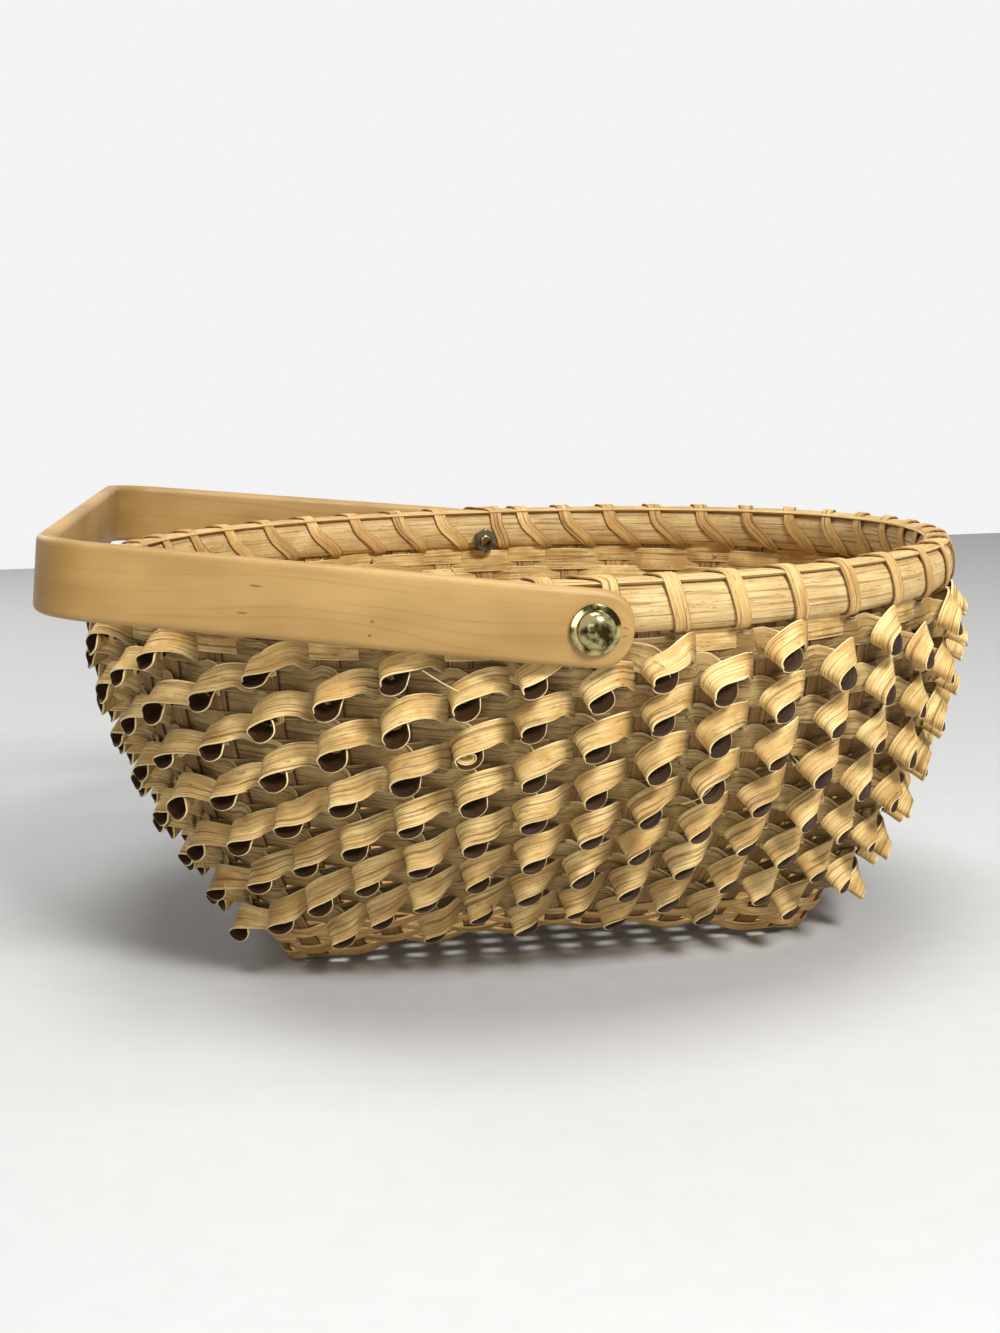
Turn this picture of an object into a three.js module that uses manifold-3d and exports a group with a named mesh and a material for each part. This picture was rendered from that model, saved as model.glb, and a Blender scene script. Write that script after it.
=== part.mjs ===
// A splint basket with curled weavers, a lashed rim and a bent wooden swing handle.
// Millimetres, +Z up, origin on the table. The long axis is X.
// The handle hangs on a bolt at each long side and lies folded towards -X.
import * as THREE from "three";
import { mergeVertices } from "three/addons/utils/BufferGeometryUtils.js";
import Module from "manifold-3d";

const wasm = await Module();
wasm.setup();

// Clearances
const SEAT_GAP = 0.3;
const HOOP_GAP = 0.6;
const BOLT_GAP = 0.3;
const ARM_GAP = 0.9;
const CUT_OVERRUN = 2;

// Rim, measured to the outer face of the outer hoop
const RIM_HALF_LENGTH = 165;
const RIM_HALF_WIDTH = 149;
const RIM_HEIGHT = 151;
const RIM_SQUARENESS_SHARE = 2.08;
const STAKE_CROWDING_SHARE = 0.15;
const HOOP_HEIGHT = 15.5;
const OUTER_HOOP_THICKNESS = 4.8;
const INNER_HOOP_THICKNESS = 3.8;
const HOOP_EDGE_ROUNDING = 3.4;
const FILLER_HEIGHT = 2.2;
const FILLER_WIDTH = 5;
const LASHING_WIDTH = 5.6;
const LASHING_THICKNESS = 0.9;
const LASHING_INNER_GAP = 0.75;

// Splints that cross the base and rise as the stakes of the wall
const SHORT_SPLINTS = 13;
const LONG_SPLINTS = 9;
const SPLINT_WIDTH = 8;
const SPLINT_THICKNESS = 0.9;
const BASE_HALF_LENGTH = 98;
const BASE_HALF_WIDTH = 52;
const SHORT_SPLINT_FROM_CORNER = 10.4;
const LONG_SPLINT_FROM_CORNER = 7.6;
const FOOT_HEIGHT = 0.6;
const BASE_WEAVE_OVER = 2.6;
const BASE_WEAVE_UNDER = 2.6;
const BASE_ARCH = 8;
const STAKE_TOP_BELOW_RIM = 4;

// Wall bands
const WALL_SWELL_SHARE = 1;
const ROWS_PER_BEND = 4;
const CURL_ROWS = 13;
const FLAT_CURL_ROWS = 7;
const TOP_ROW_HEIGHT_SHARE = 0.946;
const BOTTOM_ROW_HEIGHT_SHARE = 0.165;
const FOOT_WEAVERS = 4;
const FOOT_WEAVER_WIDTH = 4.9;
const FOOT_WEAVER_PITCH = 5.9;
const FIRST_FOOT_WEAVER_AT = 1.6;
const FOOT_WEAVER_LIFT = 2.2;

// Curled weaver: the strip is flat behind one stake and loops in front of the next
const STRIP_WIDTH = 8;
const STRIP_THICKNESS = 0.9;
const CURL_FULL_PITCH = 21;
const CURL_SIZE = 20;
const LEAST_CURL_SHARE = 0.7;
const CURL_CROWN_UNDER_ARM = 2.6;
const CORNER_LEAN_SHARE = 0.12;
const CORNER_UPPER_OUT = 1.6;
const CORNER_LOWER_OUT = 3.2;

// Swing handle
const HANDLE_WIDTH = 25;
const HANDLE_THICKNESS = 5.8;
const HANDLE_PAST_RIM = 10;
const BAR_INSIDE_RIM = 18;
const HANDLE_BEND_RADIUS = 20;
const HANDLE_EDGE_ROUNDING = 2.2;
const HANDLE_REST_RISE = 20.25;
const PIVOT_BELOW_RIM = 13;
const ARM_TO_RIM = 3.2;
const ARM_STRAIGHT_REACH = 18;

// Bolt, washers and nut
const BOLT_DIAMETER = 4.8;
const BOLT_HEAD_DIAMETER = 12.6;
const BOLT_HEAD_HEIGHT = 4.2;
const BOLT_PAST_NUT = 3;
const WASHER_DIAMETER = 16.2;
const WASHER_THICKNESS = 1.4;
const SPACER_DIAMETER = 13;
const NUT_ACROSS_FLATS = 9.6;
const NUT_THICKNESS = 4.2;

// Facet counts
const ROUND_SIDES = 10;
const DOME_STEPS = 4;
const BEND_STEPS = 5;
const ARM_END_STEPS = 4;
const ARC_SAMPLES = 720;
const FILLER_STEP = 2;

// Values that follow from the ones above
const STAKES = 2 * (SHORT_SPLINTS + LONG_SPLINTS);
const SHORT_SPLINT_PITCH = (2 * (BASE_HALF_LENGTH - SHORT_SPLINT_FROM_CORNER)) / (SHORT_SPLINTS - 1);
const LONG_SPLINT_PITCH = (2 * (BASE_HALF_WIDTH - LONG_SPLINT_FROM_CORNER)) / (LONG_SPLINTS - 1);
const HOOP_TOP = RIM_HEIGHT - FILLER_HEIGHT / 2;
const HOOP_BOTTOM = HOOP_TOP - HOOP_HEIGHT;
const STAKE_INSET = OUTER_HOOP_THICKNESS + HOOP_GAP + SPLINT_THICKNESS / 2;
const STAKE_LINE_LENGTH = RIM_HALF_LENGTH - STAKE_INSET;
const STAKE_LINE_WIDTH = RIM_HALF_WIDTH - STAKE_INSET;
const PIVOT_HEIGHT = RIM_HEIGHT - PIVOT_BELOW_RIM;
const HANDLE_REACH = RIM_HALF_LENGTH + HANDLE_PAST_RIM;
const HANDLE_BAR_HALF_WIDTH = RIM_HALF_WIDTH - BAR_INSIDE_RIM;
const HANDLE_REST_TILT = Math.atan(HANDLE_REST_RISE / HANDLE_REACH);
const EDGE_REACH = SPLINT_WIDTH / 2 + 1.5 * SEAT_GAP;
const BEHIND = -(SPLINT_THICKNESS / 2 + 2 * SEAT_GAP + STRIP_THICKNESS);
const IN_FRONT = SPLINT_THICKNESS / 2 + 1.5 * SEAT_GAP;
const ARM_INNER_FACE = RIM_HALF_WIDTH + ARM_TO_RIM;
const HOLE_RADIUS = BOLT_DIAMETER / 2 + BOLT_GAP;

const COLOURS = {
  splint: "#c9a263",
  weaver: "#d2aa68",
  foot: "#b88d50",
  hoop: "#cdb07a",
  lashing: "#cfa261",
  handle: "#ddb578",
  metal: "#b9b08a",
  nut: "#6b6557",
};

const basket = new THREE.Group();
const up = new THREE.Vector3(0, 0, 1);

function addMesh(name, geometry, colour, metal = false) {
  const material = new THREE.MeshStandardMaterial({
    color: colour,
    roughness: metal ? 0.28 : 0.72,
    metalness: metal ? 1 : 0,
  });
  const mesh = new THREE.Mesh(geometry, material);
  mesh.name = name;
  basket.add(mesh);
  return mesh;
}

// Joins rings of as many points each into one closed surface.
// A closed loft returns to its first ring, an open one is capped at both ends.
// Faces that start at the turned corner are split the other way, so that both faces of a twisted
// strip bend along the same line.
function loft(rings, closed, turnedCorner = -1) {
  const count = rings[0].length;
  const positions = rings.flat().flatMap((p) => [p.x, p.y, p.z]);
  const index = [];
  const joins = closed ? rings.length : rings.length - 1;
  for (let r = 0; r < joins; r += 1) {
    const here = r * count;
    const next = ((r + 1) % rings.length) * count;
    for (let c = 0; c < count; c += 1) {
      const d = (c + 1) % count;
      if (c === turnedCorner) {
        index.push(here + c, here + d, next + c);
        index.push(here + d, next + d, next + c);
      } else {
        index.push(here + c, here + d, next + d);
        index.push(here + c, next + d, next + c);
      }
    }
  }
  if (!closed) {
    const last = (rings.length - 1) * count;
    for (let c = 1; c < count - 1; c += 1) {
      index.push(0, c + 1, c);
      index.push(last, last + c, last + c + 1);
    }
  }
  return facingOut(positions, index);
}

// Six times the signed volume tells which way the faces point.
function facingOut(positions, index) {
  const corner = (i) => new THREE.Vector3().fromArray(positions, 3 * index[i]);
  let sum = 0;
  for (let i = 0; i < index.length; i += 3) {
    sum += corner(i).dot(corner(i + 1).cross(corner(i + 2)));
  }
  if (sum < 0) {
    index.reverse();
  }
  const geometry = new THREE.BufferGeometry();
  geometry.setAttribute("position", new THREE.Float32BufferAttribute(positions, 3));
  geometry.setIndex(index);
  return geometry;
}

function solidOf(geometry) {
  const bare = geometry.clone();
  bare.deleteAttribute("normal");
  bare.deleteAttribute("uv");
  const merged = mergeVertices(bare);
  return new wasm.Manifold(
    new wasm.Mesh({
      numProp: 3,
      vertProperties: new Float32Array(merged.attributes.position.array),
      triVerts: new Uint32Array(merged.index.array),
    }),
  );
}

function geometryOf(solid) {
  const mesh = solid.getMesh();
  const geometry = new THREE.BufferGeometry();
  geometry.setAttribute("position", new THREE.BufferAttribute(mesh.vertProperties, mesh.numProp));
  geometry.setIndex(new THREE.BufferAttribute(mesh.triVerts, 1));
  return geometry;
}

// A round bar along Y through the pivot axis, used to drill for the bolts.
function pivotDrill(fromY, toY, height) {
  const drill = new THREE.CylinderGeometry(HOLE_RADIUS, HOLE_RADIUS, Math.abs(toY - fromY), ROUND_SIDES);
  drill.translate(0, (fromY + toY) / 2, height);
  return solidOf(drill);
}

// Plan of the rim: a slightly squared ellipse, drawn in by the inset.
function rimPlan(angle, inset) {
  const power = 2 / RIM_SQUARENESS_SHARE;
  const c = Math.cos(angle);
  const s = Math.sin(angle);
  return new THREE.Vector2(
    (RIM_HALF_LENGTH - inset) * Math.sign(c) * Math.abs(c) ** power,
    (RIM_HALF_WIDTH - inset) * Math.sign(s) * Math.abs(s) ** power,
  );
}

// Angles at which the stakes stand, measured along the rim from the middle of the near side.
const rimAngles = (() => {
  const start = -Math.PI / 2;
  const lengths = [0];
  for (let i = 1; i <= ARC_SAMPLES; i += 1) {
    const before = rimPlan(start + (2 * Math.PI * (i - 1)) / ARC_SAMPLES, STAKE_INSET);
    const here = rimPlan(start + (2 * Math.PI * i) / ARC_SAMPLES, STAKE_INSET);
    lengths.push(lengths[i - 1] + before.distanceTo(here));
  }
  const total = lengths[ARC_SAMPLES];
  return (place) => {
    const wanted = (((place / STAKES) % 1) + 1) % 1;
    const length = wanted * total;
    let i = 1;
    while (i < ARC_SAMPLES && lengths[i] < length) {
      i += 1;
    }
    const part = (length - lengths[i - 1]) / (lengths[i] - lengths[i - 1]);
    return start + (2 * Math.PI * (i - 1 + part)) / ARC_SAMPLES;
  };
})();

// Place of a stake counted from the middle of the near side.
const nearMiddle = (SHORT_SPLINTS - 1) / 2;
// The stakes crowd a little in the middle of each side and spread at the corners.
const rimAngleOfStake = (stake) => {
  const place = stake - nearMiddle;
  return rimAngles(place - STAKE_CROWDING_SHARE * Math.sin((8 * Math.PI * place) / STAKES));
};

// Where each stake leaves the base, going round from the left end of the near side.
function baseEdge(stake) {
  const i = ((stake % STAKES) + STAKES) % STAKES;
  const along = (k) => (k - (SHORT_SPLINTS - 1) / 2) * SHORT_SPLINT_PITCH;
  const across = (k) => (k - (LONG_SPLINTS - 1) / 2) * LONG_SPLINT_PITCH;
  if (i < SHORT_SPLINTS) {
    return new THREE.Vector2(along(i), -BASE_HALF_WIDTH);
  }
  if (i < SHORT_SPLINTS + LONG_SPLINTS) {
    return new THREE.Vector2(BASE_HALF_LENGTH, across(i - SHORT_SPLINTS));
  }
  const opposite = baseEdge(i - SHORT_SPLINTS - LONG_SPLINTS);
  return new THREE.Vector2(-opposite.x, -opposite.y);
}

// The base is sprung upwards, so that only its four corners stand on the table.
function baseHeight(x, y) {
  const cornerShare = (x / BASE_HALF_LENGTH) ** 2 * Math.abs(y / BASE_HALF_WIDTH);
  return FOOT_HEIGHT + BASE_ARCH * (1 - cornerShare);
}

// Share of the flare reached at a share of the height: steep at the foot, nearly upright at the rim.
function flareAt(heightShare) {
  return heightShare * (1 + WALL_SWELL_SHARE * (1 - heightShare));
}

const rowFall = (TOP_ROW_HEIGHT_SHARE - BOTTOM_ROW_HEIGHT_SHARE) / (CURL_ROWS - 1);
const rowShare = (row) => TOP_ROW_HEIGHT_SHARE - (row - 1) * rowFall;

// The stakes bend between rows, so that every band lies on a straight stretch.
const bendShares = [0, 1];
for (let row = CURL_ROWS - 0.5; row > 1; row -= ROWS_PER_BEND) {
  bendShares.splice(-1, 0, rowShare(row));
}
const lastStep = bendShares.length - 2;

// Corner points of a stake's wall part, from the base edge up into the rim.
function wallKnots(stake) {
  const foot = baseEdge(stake);
  const top = rimPlan(rimAngleOfStake(stake), STAKE_INSET);
  const footZ = baseHeight(foot.x, foot.y);
  const knots = bendShares.map((share) => {
    const plan = foot.clone().lerp(top, flareAt(share));
    return new THREE.Vector3(plan.x, plan.y, footZ + (HOOP_BOTTOM - footZ) * share);
  });
  knots.push(new THREE.Vector3(top.x, top.y, RIM_HEIGHT - STAKE_TOP_BELOW_RIM));
  return knots;
}

const allKnots = Array.from({ length: STAKES }, (_, i) => wallKnots(i));
const knotsOf = (stake) => allKnots[((stake % STAKES) + STAKES) % STAKES];

// Point and upward direction on a stake at a share of the wall's height.
function onStake(stake, share) {
  const knots = knotsOf(stake);
  const step = Math.min(lastStep, bendShares.findLastIndex((bend) => bend <= share));
  const part = (share - bendShares[step]) / (bendShares[step + 1] - bendShares[step]);
  const point = knots[step].clone().lerp(knots[step + 1], part);
  const rise = knots[step + 1].clone().sub(knots[step]).normalize();
  return { point, rise };
}

// A frame on the wall: left (as seen from outside), out and rise, and the pitch to the next stake.
function wallFrame(stake, share) {
  const { point, rise } = onStake(stake, share);
  const before = onStake(stake + 1, share).point;
  const after = onStake(stake - 1, share).point;
  const pitch = (point.distanceTo(before) + point.distanceTo(after)) / 2;
  const left = after.clone().sub(before);
  left.addScaledVector(rise, -left.dot(rise)).normalize();
  const out = new THREE.Vector3().crossVectors(rise, left).normalize();
  if (out.x * point.x + out.y * point.y < 0) {
    out.negate();
  }
  const at = (s, n, z) =>
    point.clone().addScaledVector(left, s).addScaledVector(out, n).addScaledVector(rise, z);
  return { point, left, out, rise, pitch, at };
}

// Height share of a band placed at a length up the mean slope of the wall.
const shareAtSlope = (() => {
  const flare = (STAKE_LINE_LENGTH - BASE_HALF_LENGTH + STAKE_LINE_WIDTH - BASE_HALF_WIDTH) / 2;
  const climb = HOOP_BOTTOM - FOOT_HEIGHT - BASE_ARCH;
  const lengths = [0];
  const point = (i) => new THREE.Vector2(flare * flareAt(i / ARC_SAMPLES), (climb * i) / ARC_SAMPLES);
  for (let i = 1; i <= ARC_SAMPLES; i += 1) {
    lengths.push(lengths[i - 1] + point(i).distanceTo(point(i - 1)));
  }
  return (length) => lengths.findIndex((l) => l >= length) / ARC_SAMPLES;
})();

const footShare = (row) => shareAtSlope(FIRST_FOOT_WEAVER_AT + (row - 1) * FOOT_WEAVER_PITCH);

// Strip through a closed run of creases, each given by its upper and lower edge points. Each section
// is thickened on the face that looks out of the basket where the strip lies on the wall.
function stripLoop(creases, thickness) {
  const middles = creases.map(({ upper, lower }) => upper.clone().add(lower).multiplyScalar(0.5));
  const last = creases.length - 1;
  const rings = creases.map(({ upper, lower }, k) => {
    const crease = upper.clone().sub(lower);
    const coming = middles[k].clone().sub(middles[k === 0 ? last : k - 1]);
    const going = middles[k === last ? 0 : k + 1].clone().sub(middles[k]);
    const face = new THREE.Vector3().crossVectors(crease, coming).normalize();
    face.add(new THREE.Vector3().crossVectors(crease, going).normalize()).multiplyScalar(0.5);
    return stripSection(upper, lower, face, thickness);
  });
  return loft(rings, true, 1);
}

// Three-cornered strip section: full thickness at the lower edge and a thin upper edge.
function stripSection(upper, lower, direction, thickness) {
  return [lower.clone().addScaledVector(direction, thickness), upper, lower];
}

// Splints of the base: each runs over or under the ones that it crosses, then up both walls.
// The thick edge is the one that looks to the middle of the base, whichever half the splint is in.
function splintGeometry(stakeA, stakeB, crossings, weaves, turned) {
  const rings = [];
  const section = (one, other, direction) =>
    turned
      ? stripSection(other, one, direction, SPLINT_THICKNESS)
      : stripSection(one, other, direction, SPLINT_THICKNESS);
  const wallRings = (stake, upwards) => {
    const knots = knotsOf(stake);
    const sections = knots.map((knot, k) => {
      const frame = wallFrame(stake, bendShares[Math.min(k, lastStep + 1)]);
      const below = k > 0 ? knot.clone().sub(knots[k - 1]).normalize() : frame.rise;
      const above = k < knots.length - 1 ? knots[k + 1].clone().sub(knot).normalize() : below;
      const rise = below.clone().add(above).normalize();
      const out = new THREE.Vector3().crossVectors(rise, frame.left).normalize();
      if (out.dot(frame.out) < 0) {
        out.negate();
      }
      const inner = knot.clone().addScaledVector(out, -SPLINT_THICKNESS / 2);
      const side = frame.left.clone().multiplyScalar((upwards ? 1 : -1) * (SPLINT_WIDTH / 2));
      return section(inner.clone().add(side), inner.clone().sub(side), out);
    });
    return upwards ? sections : sections.reverse();
  };
  rings.push(...wallRings(stakeA, false));
  const a = baseEdge(stakeA);
  const b = baseEdge(stakeB);
  const direction = b.clone().sub(a).normalize();
  const side = new THREE.Vector2(direction.y, -direction.x).multiplyScalar(SPLINT_WIDTH / 2);
  crossings.forEach((crossing, k) => {
    const over = (weaves + k) % 2 === 0;
    const weave = over ? BASE_WEAVE_OVER : -BASE_WEAVE_UNDER;
    const shift = weaves ? weave : 0;
    const edge = (sign) => {
      const point = crossing.clone().addScaledVector(side, sign);
      const z = baseHeight(point.x, point.y) + shift + SPLINT_THICKNESS / 2;
      return new THREE.Vector3(point.x, point.y, z);
    };
    rings.push(section(edge(1), edge(-1), up.clone().negate()));
  });
  rings.push(...wallRings(stakeB, true));
  return loft(rings, false, 1);
}

function buildSplints() {
  const xs = Array.from({ length: SHORT_SPLINTS }, (_, k) => baseEdge(k).x);
  const ys = Array.from({ length: LONG_SPLINTS }, (_, k) => baseEdge(SHORT_SPLINTS + k).y);
  for (let k = 0; k < SHORT_SPLINTS; k += 1) {
    const far = 2 * SHORT_SPLINTS + LONG_SPLINTS - 1 - k;
    let geometry = splintGeometry(k, far, [new THREE.Vector2(xs[k], 0)], 0, k > nearMiddle);
    if (k === nearMiddle) {
      const reach = RIM_HALF_WIDTH + CUT_OVERRUN;
      geometry = geometryOf(solidOf(geometry).subtract(pivotDrill(-reach, reach, PIVOT_HEIGHT)));
    }
    addMesh(`short_splint_${k + 1}`, geometry, COLOURS.splint);
  }
  for (let k = 0; k < LONG_SPLINTS; k += 1) {
    const right = SHORT_SPLINTS + k;
    const left = STAKES - 1 - k;
    const crossings = xs.map((x) => new THREE.Vector2(x, ys[k])).reverse();
    const geometry = splintGeometry(right, left, crossings, 1 + (k % 2), ys[k] < 0);
    addMesh(`long_splint_${k + 1}`, geometry, COLOURS.splint);
  }
}

// How far the arm presses down a top-row curl that lies under it.
function pressedBy(point) {
  const armUnderside =
    PIVOT_HEIGHT - HANDLE_WIDTH / 2 / Math.cos(HANDLE_REST_TILT) + Math.abs(point.x) * Math.tan(HANDLE_REST_TILT);
  return Math.max(0, point.z + CURL_CROWN_UNDER_ARM + ARM_GAP - armUnderside);
}

// One curl: the strip comes from behind the stake on the right, turns down and round a slanting
// axis into an open tube, and leaves to the left between the tube and the stake.
// The lower rows are pressed flatter, with one turn fewer.
const openCurlShares = [
  { upper: [0.14, 0.3, 0.185], lower: [0.015, 0.67, -0.07] },
  { upper: [0.115, 0.18, -0.035], lower: [-0.06, 0.48, -0.47] },
  { upper: [-0.095, 0.19, 0.06], lower: [-0.35, 0.3, -0.36] },
];
const flatCurlShares = [
  { upper: [0.135, 0.355, 0.21], lower: [0, 0.58, -0.12] },
  { upper: [0.065, 0.215, -0.02], lower: [-0.215, 0.41, -0.435] },
];

function curlCreases(stake, share, corners) {
  const frame = wallFrame(stake, share);
  const sizeShare = THREE.MathUtils.clamp(frame.pitch / CURL_FULL_PITCH, LEAST_CURL_SHARE, 1);
  const size = sizeShare * CURL_SIZE;
  const pressed = pressedBy(frame.point);
  const place = ([s, n, z]) => frame.at(s * size, (n * (CURL_SIZE + size)) / 2, z * size - pressed);
  const creases = corners.map(({ upper, lower }) => ({ upper: place(upper), lower: place(lower) }));
  const lead = frame.point.clone().sub(onStake(stake + 1, share).point);
  if (lead.dot(frame.out) > CORNER_LEAN_SHARE * frame.pitch) {
    const half = STRIP_WIDTH / 2;
    creases.unshift({
      upper: frame.at(-EDGE_REACH, CORNER_UPPER_OUT, half),
      lower: frame.at(-EDGE_REACH, CORNER_LOWER_OUT, -half * sizeShare),
    });
  }
  creases.push(flatCrease(frame, EDGE_REACH, IN_FRONT, STRIP_WIDTH));
  return creases;
}

// Where the strip lies flat along the wall.
function flatCrease(frame, s, n, width, lift = 0) {
  const half = width / 2;
  return { upper: frame.at(s, n, lift + half), lower: frame.at(s, n, lift - half) };
}

function behindCreases(stake, share) {
  const frame = wallFrame(stake, share);
  return [-EDGE_REACH, EDGE_REACH].map((s) => flatCrease(frame, s, BEHIND, STRIP_WIDTH));
}

function buildCurlRows() {
  for (let row = 1; row <= CURL_ROWS; row += 1) {
    const share = rowShare(row);
    const corners = row > CURL_ROWS - FLAT_CURL_ROWS ? flatCurlShares : openCurlShares;
    const creases = [];
    for (let stake = STAKES - 1; stake >= 0; stake -= 1) {
      const curls = (stake + row) % 2 === 0;
      creases.push(...(curls ? curlCreases(stake, share, corners) : behindCreases(stake, share)));
    }
    addMesh(`curl_weaver_${row}`, stripLoop(creases, STRIP_THICKNESS), COLOURS.weaver);
  }
}

// Plain narrow weavers that bind the stakes where they leave the base. The lower one is cut flat
// where it stands on the table, at the four corners.
function buildFootWeavers() {
  const slab = new THREE.BoxGeometry(2 * RIM_HALF_LENGTH, 2 * RIM_HALF_WIDTH, RIM_HEIGHT);
  const belowTable = solidOf(slab.translate(0, 0, -RIM_HEIGHT / 2));
  for (let row = 1; row <= FOOT_WEAVERS; row += 1) {
    const creases = [];
    for (let stake = STAKES - 1; stake >= 0; stake -= 1) {
      const frame = wallFrame(stake, footShare(row));
      const inFront = (stake + row) % 2 === 0;
      const n = inFront ? IN_FRONT : BEHIND;
      const lift = inFront ? 0 : FOOT_WEAVER_LIFT;
      const edges = [-EDGE_REACH, EDGE_REACH];
      creases.push(...edges.map((s) => flatCrease(frame, s, n, FOOT_WEAVER_WIDTH, lift)));
    }
    const strip = solidOf(stripLoop(creases, STRIP_THICKNESS)).subtract(belowTable);
    addMesh(`foot_weaver_${row}`, geometryOf(strip), COLOURS.foot);
  }
}

// A frame on the rim at any place between stakes, with out pointing away from the basket.
function rimFrame(place) {
  const angle = rimAngleOfStake(place);
  const step = Math.PI / ARC_SAMPLES;
  const here = rimPlan(angle, STAKE_INSET);
  const along = rimPlan(angle + step, STAKE_INSET).sub(rimPlan(angle - step, STAKE_INSET)).normalize();
  const tangent = new THREE.Vector3(along.x, along.y, 0);
  const out = new THREE.Vector3(along.y, -along.x, 0);
  const at = (n, z, s = 0) =>
    new THREE.Vector3(here.x, here.y, z).addScaledVector(out, n).addScaledVector(tangent, s);
  return { tangent, out, at };
}

const hoopBack = SPLINT_THICKNESS / 2 + HOOP_GAP;
const outerFace = hoopBack + OUTER_HOOP_THICKNESS;
const innerFace = -(hoopBack + INNER_HOOP_THICKNESS);

function hoopGeometry(back, face) {
  const rings = [];
  for (let stake = 0; stake < STAKES; stake += 1) {
    const frame = rimFrame(stake);
    rings.push([
      frame.at(back, HOOP_BOTTOM),
      frame.at(face, HOOP_BOTTOM + HOOP_EDGE_ROUNDING),
      frame.at(face, HOOP_TOP - HOOP_EDGE_ROUNDING),
      frame.at(back, HOOP_TOP),
    ]);
  }
  return loft(rings, true);
}

function buildRim() {
  const reach = RIM_HALF_WIDTH + CUT_OVERRUN;
  const drill = pivotDrill(-reach, reach, PIVOT_HEIGHT);
  const outer = solidOf(hoopGeometry(hoopBack, outerFace)).subtract(drill);
  const inner = solidOf(hoopGeometry(-hoopBack, innerFace)).subtract(drill);
  addMesh("outer_rim_hoop", geometryOf(outer), COLOURS.hoop);
  addMesh("inner_rim_hoop", geometryOf(inner), COLOURS.hoop);
  const fillerRings = [];
  for (let stake = 0; stake < STAKES; stake += FILLER_STEP) {
    const frame = rimFrame(stake);
    fillerRings.push([
      frame.at(-FILLER_WIDTH / 2, HOOP_TOP + SEAT_GAP),
      frame.at(FILLER_WIDTH / 2, HOOP_TOP + SEAT_GAP),
      frame.at(0, HOOP_TOP + FILLER_HEIGHT),
    ]);
  }
  addMesh("rim_filler", loft(fillerRings, true), COLOURS.hoop);
}

// The lashing winds round the hoops once for each gap between stakes. It passes under the hoops in
// the gap, climbs the outer face, crosses the top and slants down the inner face to the next gap.
const lashingTurnShares = { start: 0.5, outerTop: 0.68, innerTop: 0.92, pastBolt: 1.26 };

function buildLashing() {
  const rings = [];
  const outerN = outerFace + SEAT_GAP;
  const innerN = innerFace - LASHING_INNER_GAP;
  const topZ = HOOP_TOP + FILLER_HEIGHT + SEAT_GAP;
  const bottomZ = HOOP_BOTTOM - SEAT_GAP;
  const half = LASHING_WIDTH / 2;
  const section = (place, n, z, outShare, upShare) => {
    const frame = rimFrame(place);
    const direction = frame.out.clone().multiplyScalar(outShare).addScaledVector(up, upShare).normalize();
    return stripSection(frame.at(n, z, half), frame.at(n, z, -half), direction, LASHING_THICKNESS);
  };
  for (let turn = 0; turn < STAKES; turn += 1) {
    const base = -turn;
    const passedStake = base - 1;
    const atBolt = (passedStake - nearMiddle) % (STAKES / 2) === 0;
    const innerTop = atBolt ? lashingTurnShares.pastBolt : lashingTurnShares.innerTop;
    rings.push(section(base - lashingTurnShares.start, outerN, bottomZ, 1, -1));
    rings.push(section(base - lashingTurnShares.outerTop, outerN, topZ, 1, 1));
    rings.push(section(base - innerTop, innerN, topZ, -1, 1));
    rings.push(section(base - 1 - lashingTurnShares.start, innerN, bottomZ, -1, -1));
  }
  addMesh("rim_lashing", loft(rings, true, 1), COLOURS.lashing);
}

// Handle section: a flat band with rounded edges, of a given height, in a vertical plane.
function bandSection(centre, normal, height) {
  const t = HANDLE_THICKNESS / 2;
  const h = height / 2;
  const r = Math.min(HANDLE_EDGE_ROUNDING, h * 0.9);
  const corners = [
    [t, h - r], [t - r, h], [r - t, h], [-t, h - r],
    [-t, r - h], [r - t, -h], [t - r, -h], [t, r - h],
  ];
  return corners.map(([n, z]) => centre.clone().addScaledVector(normal, n).addScaledVector(up, z));
}

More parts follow.
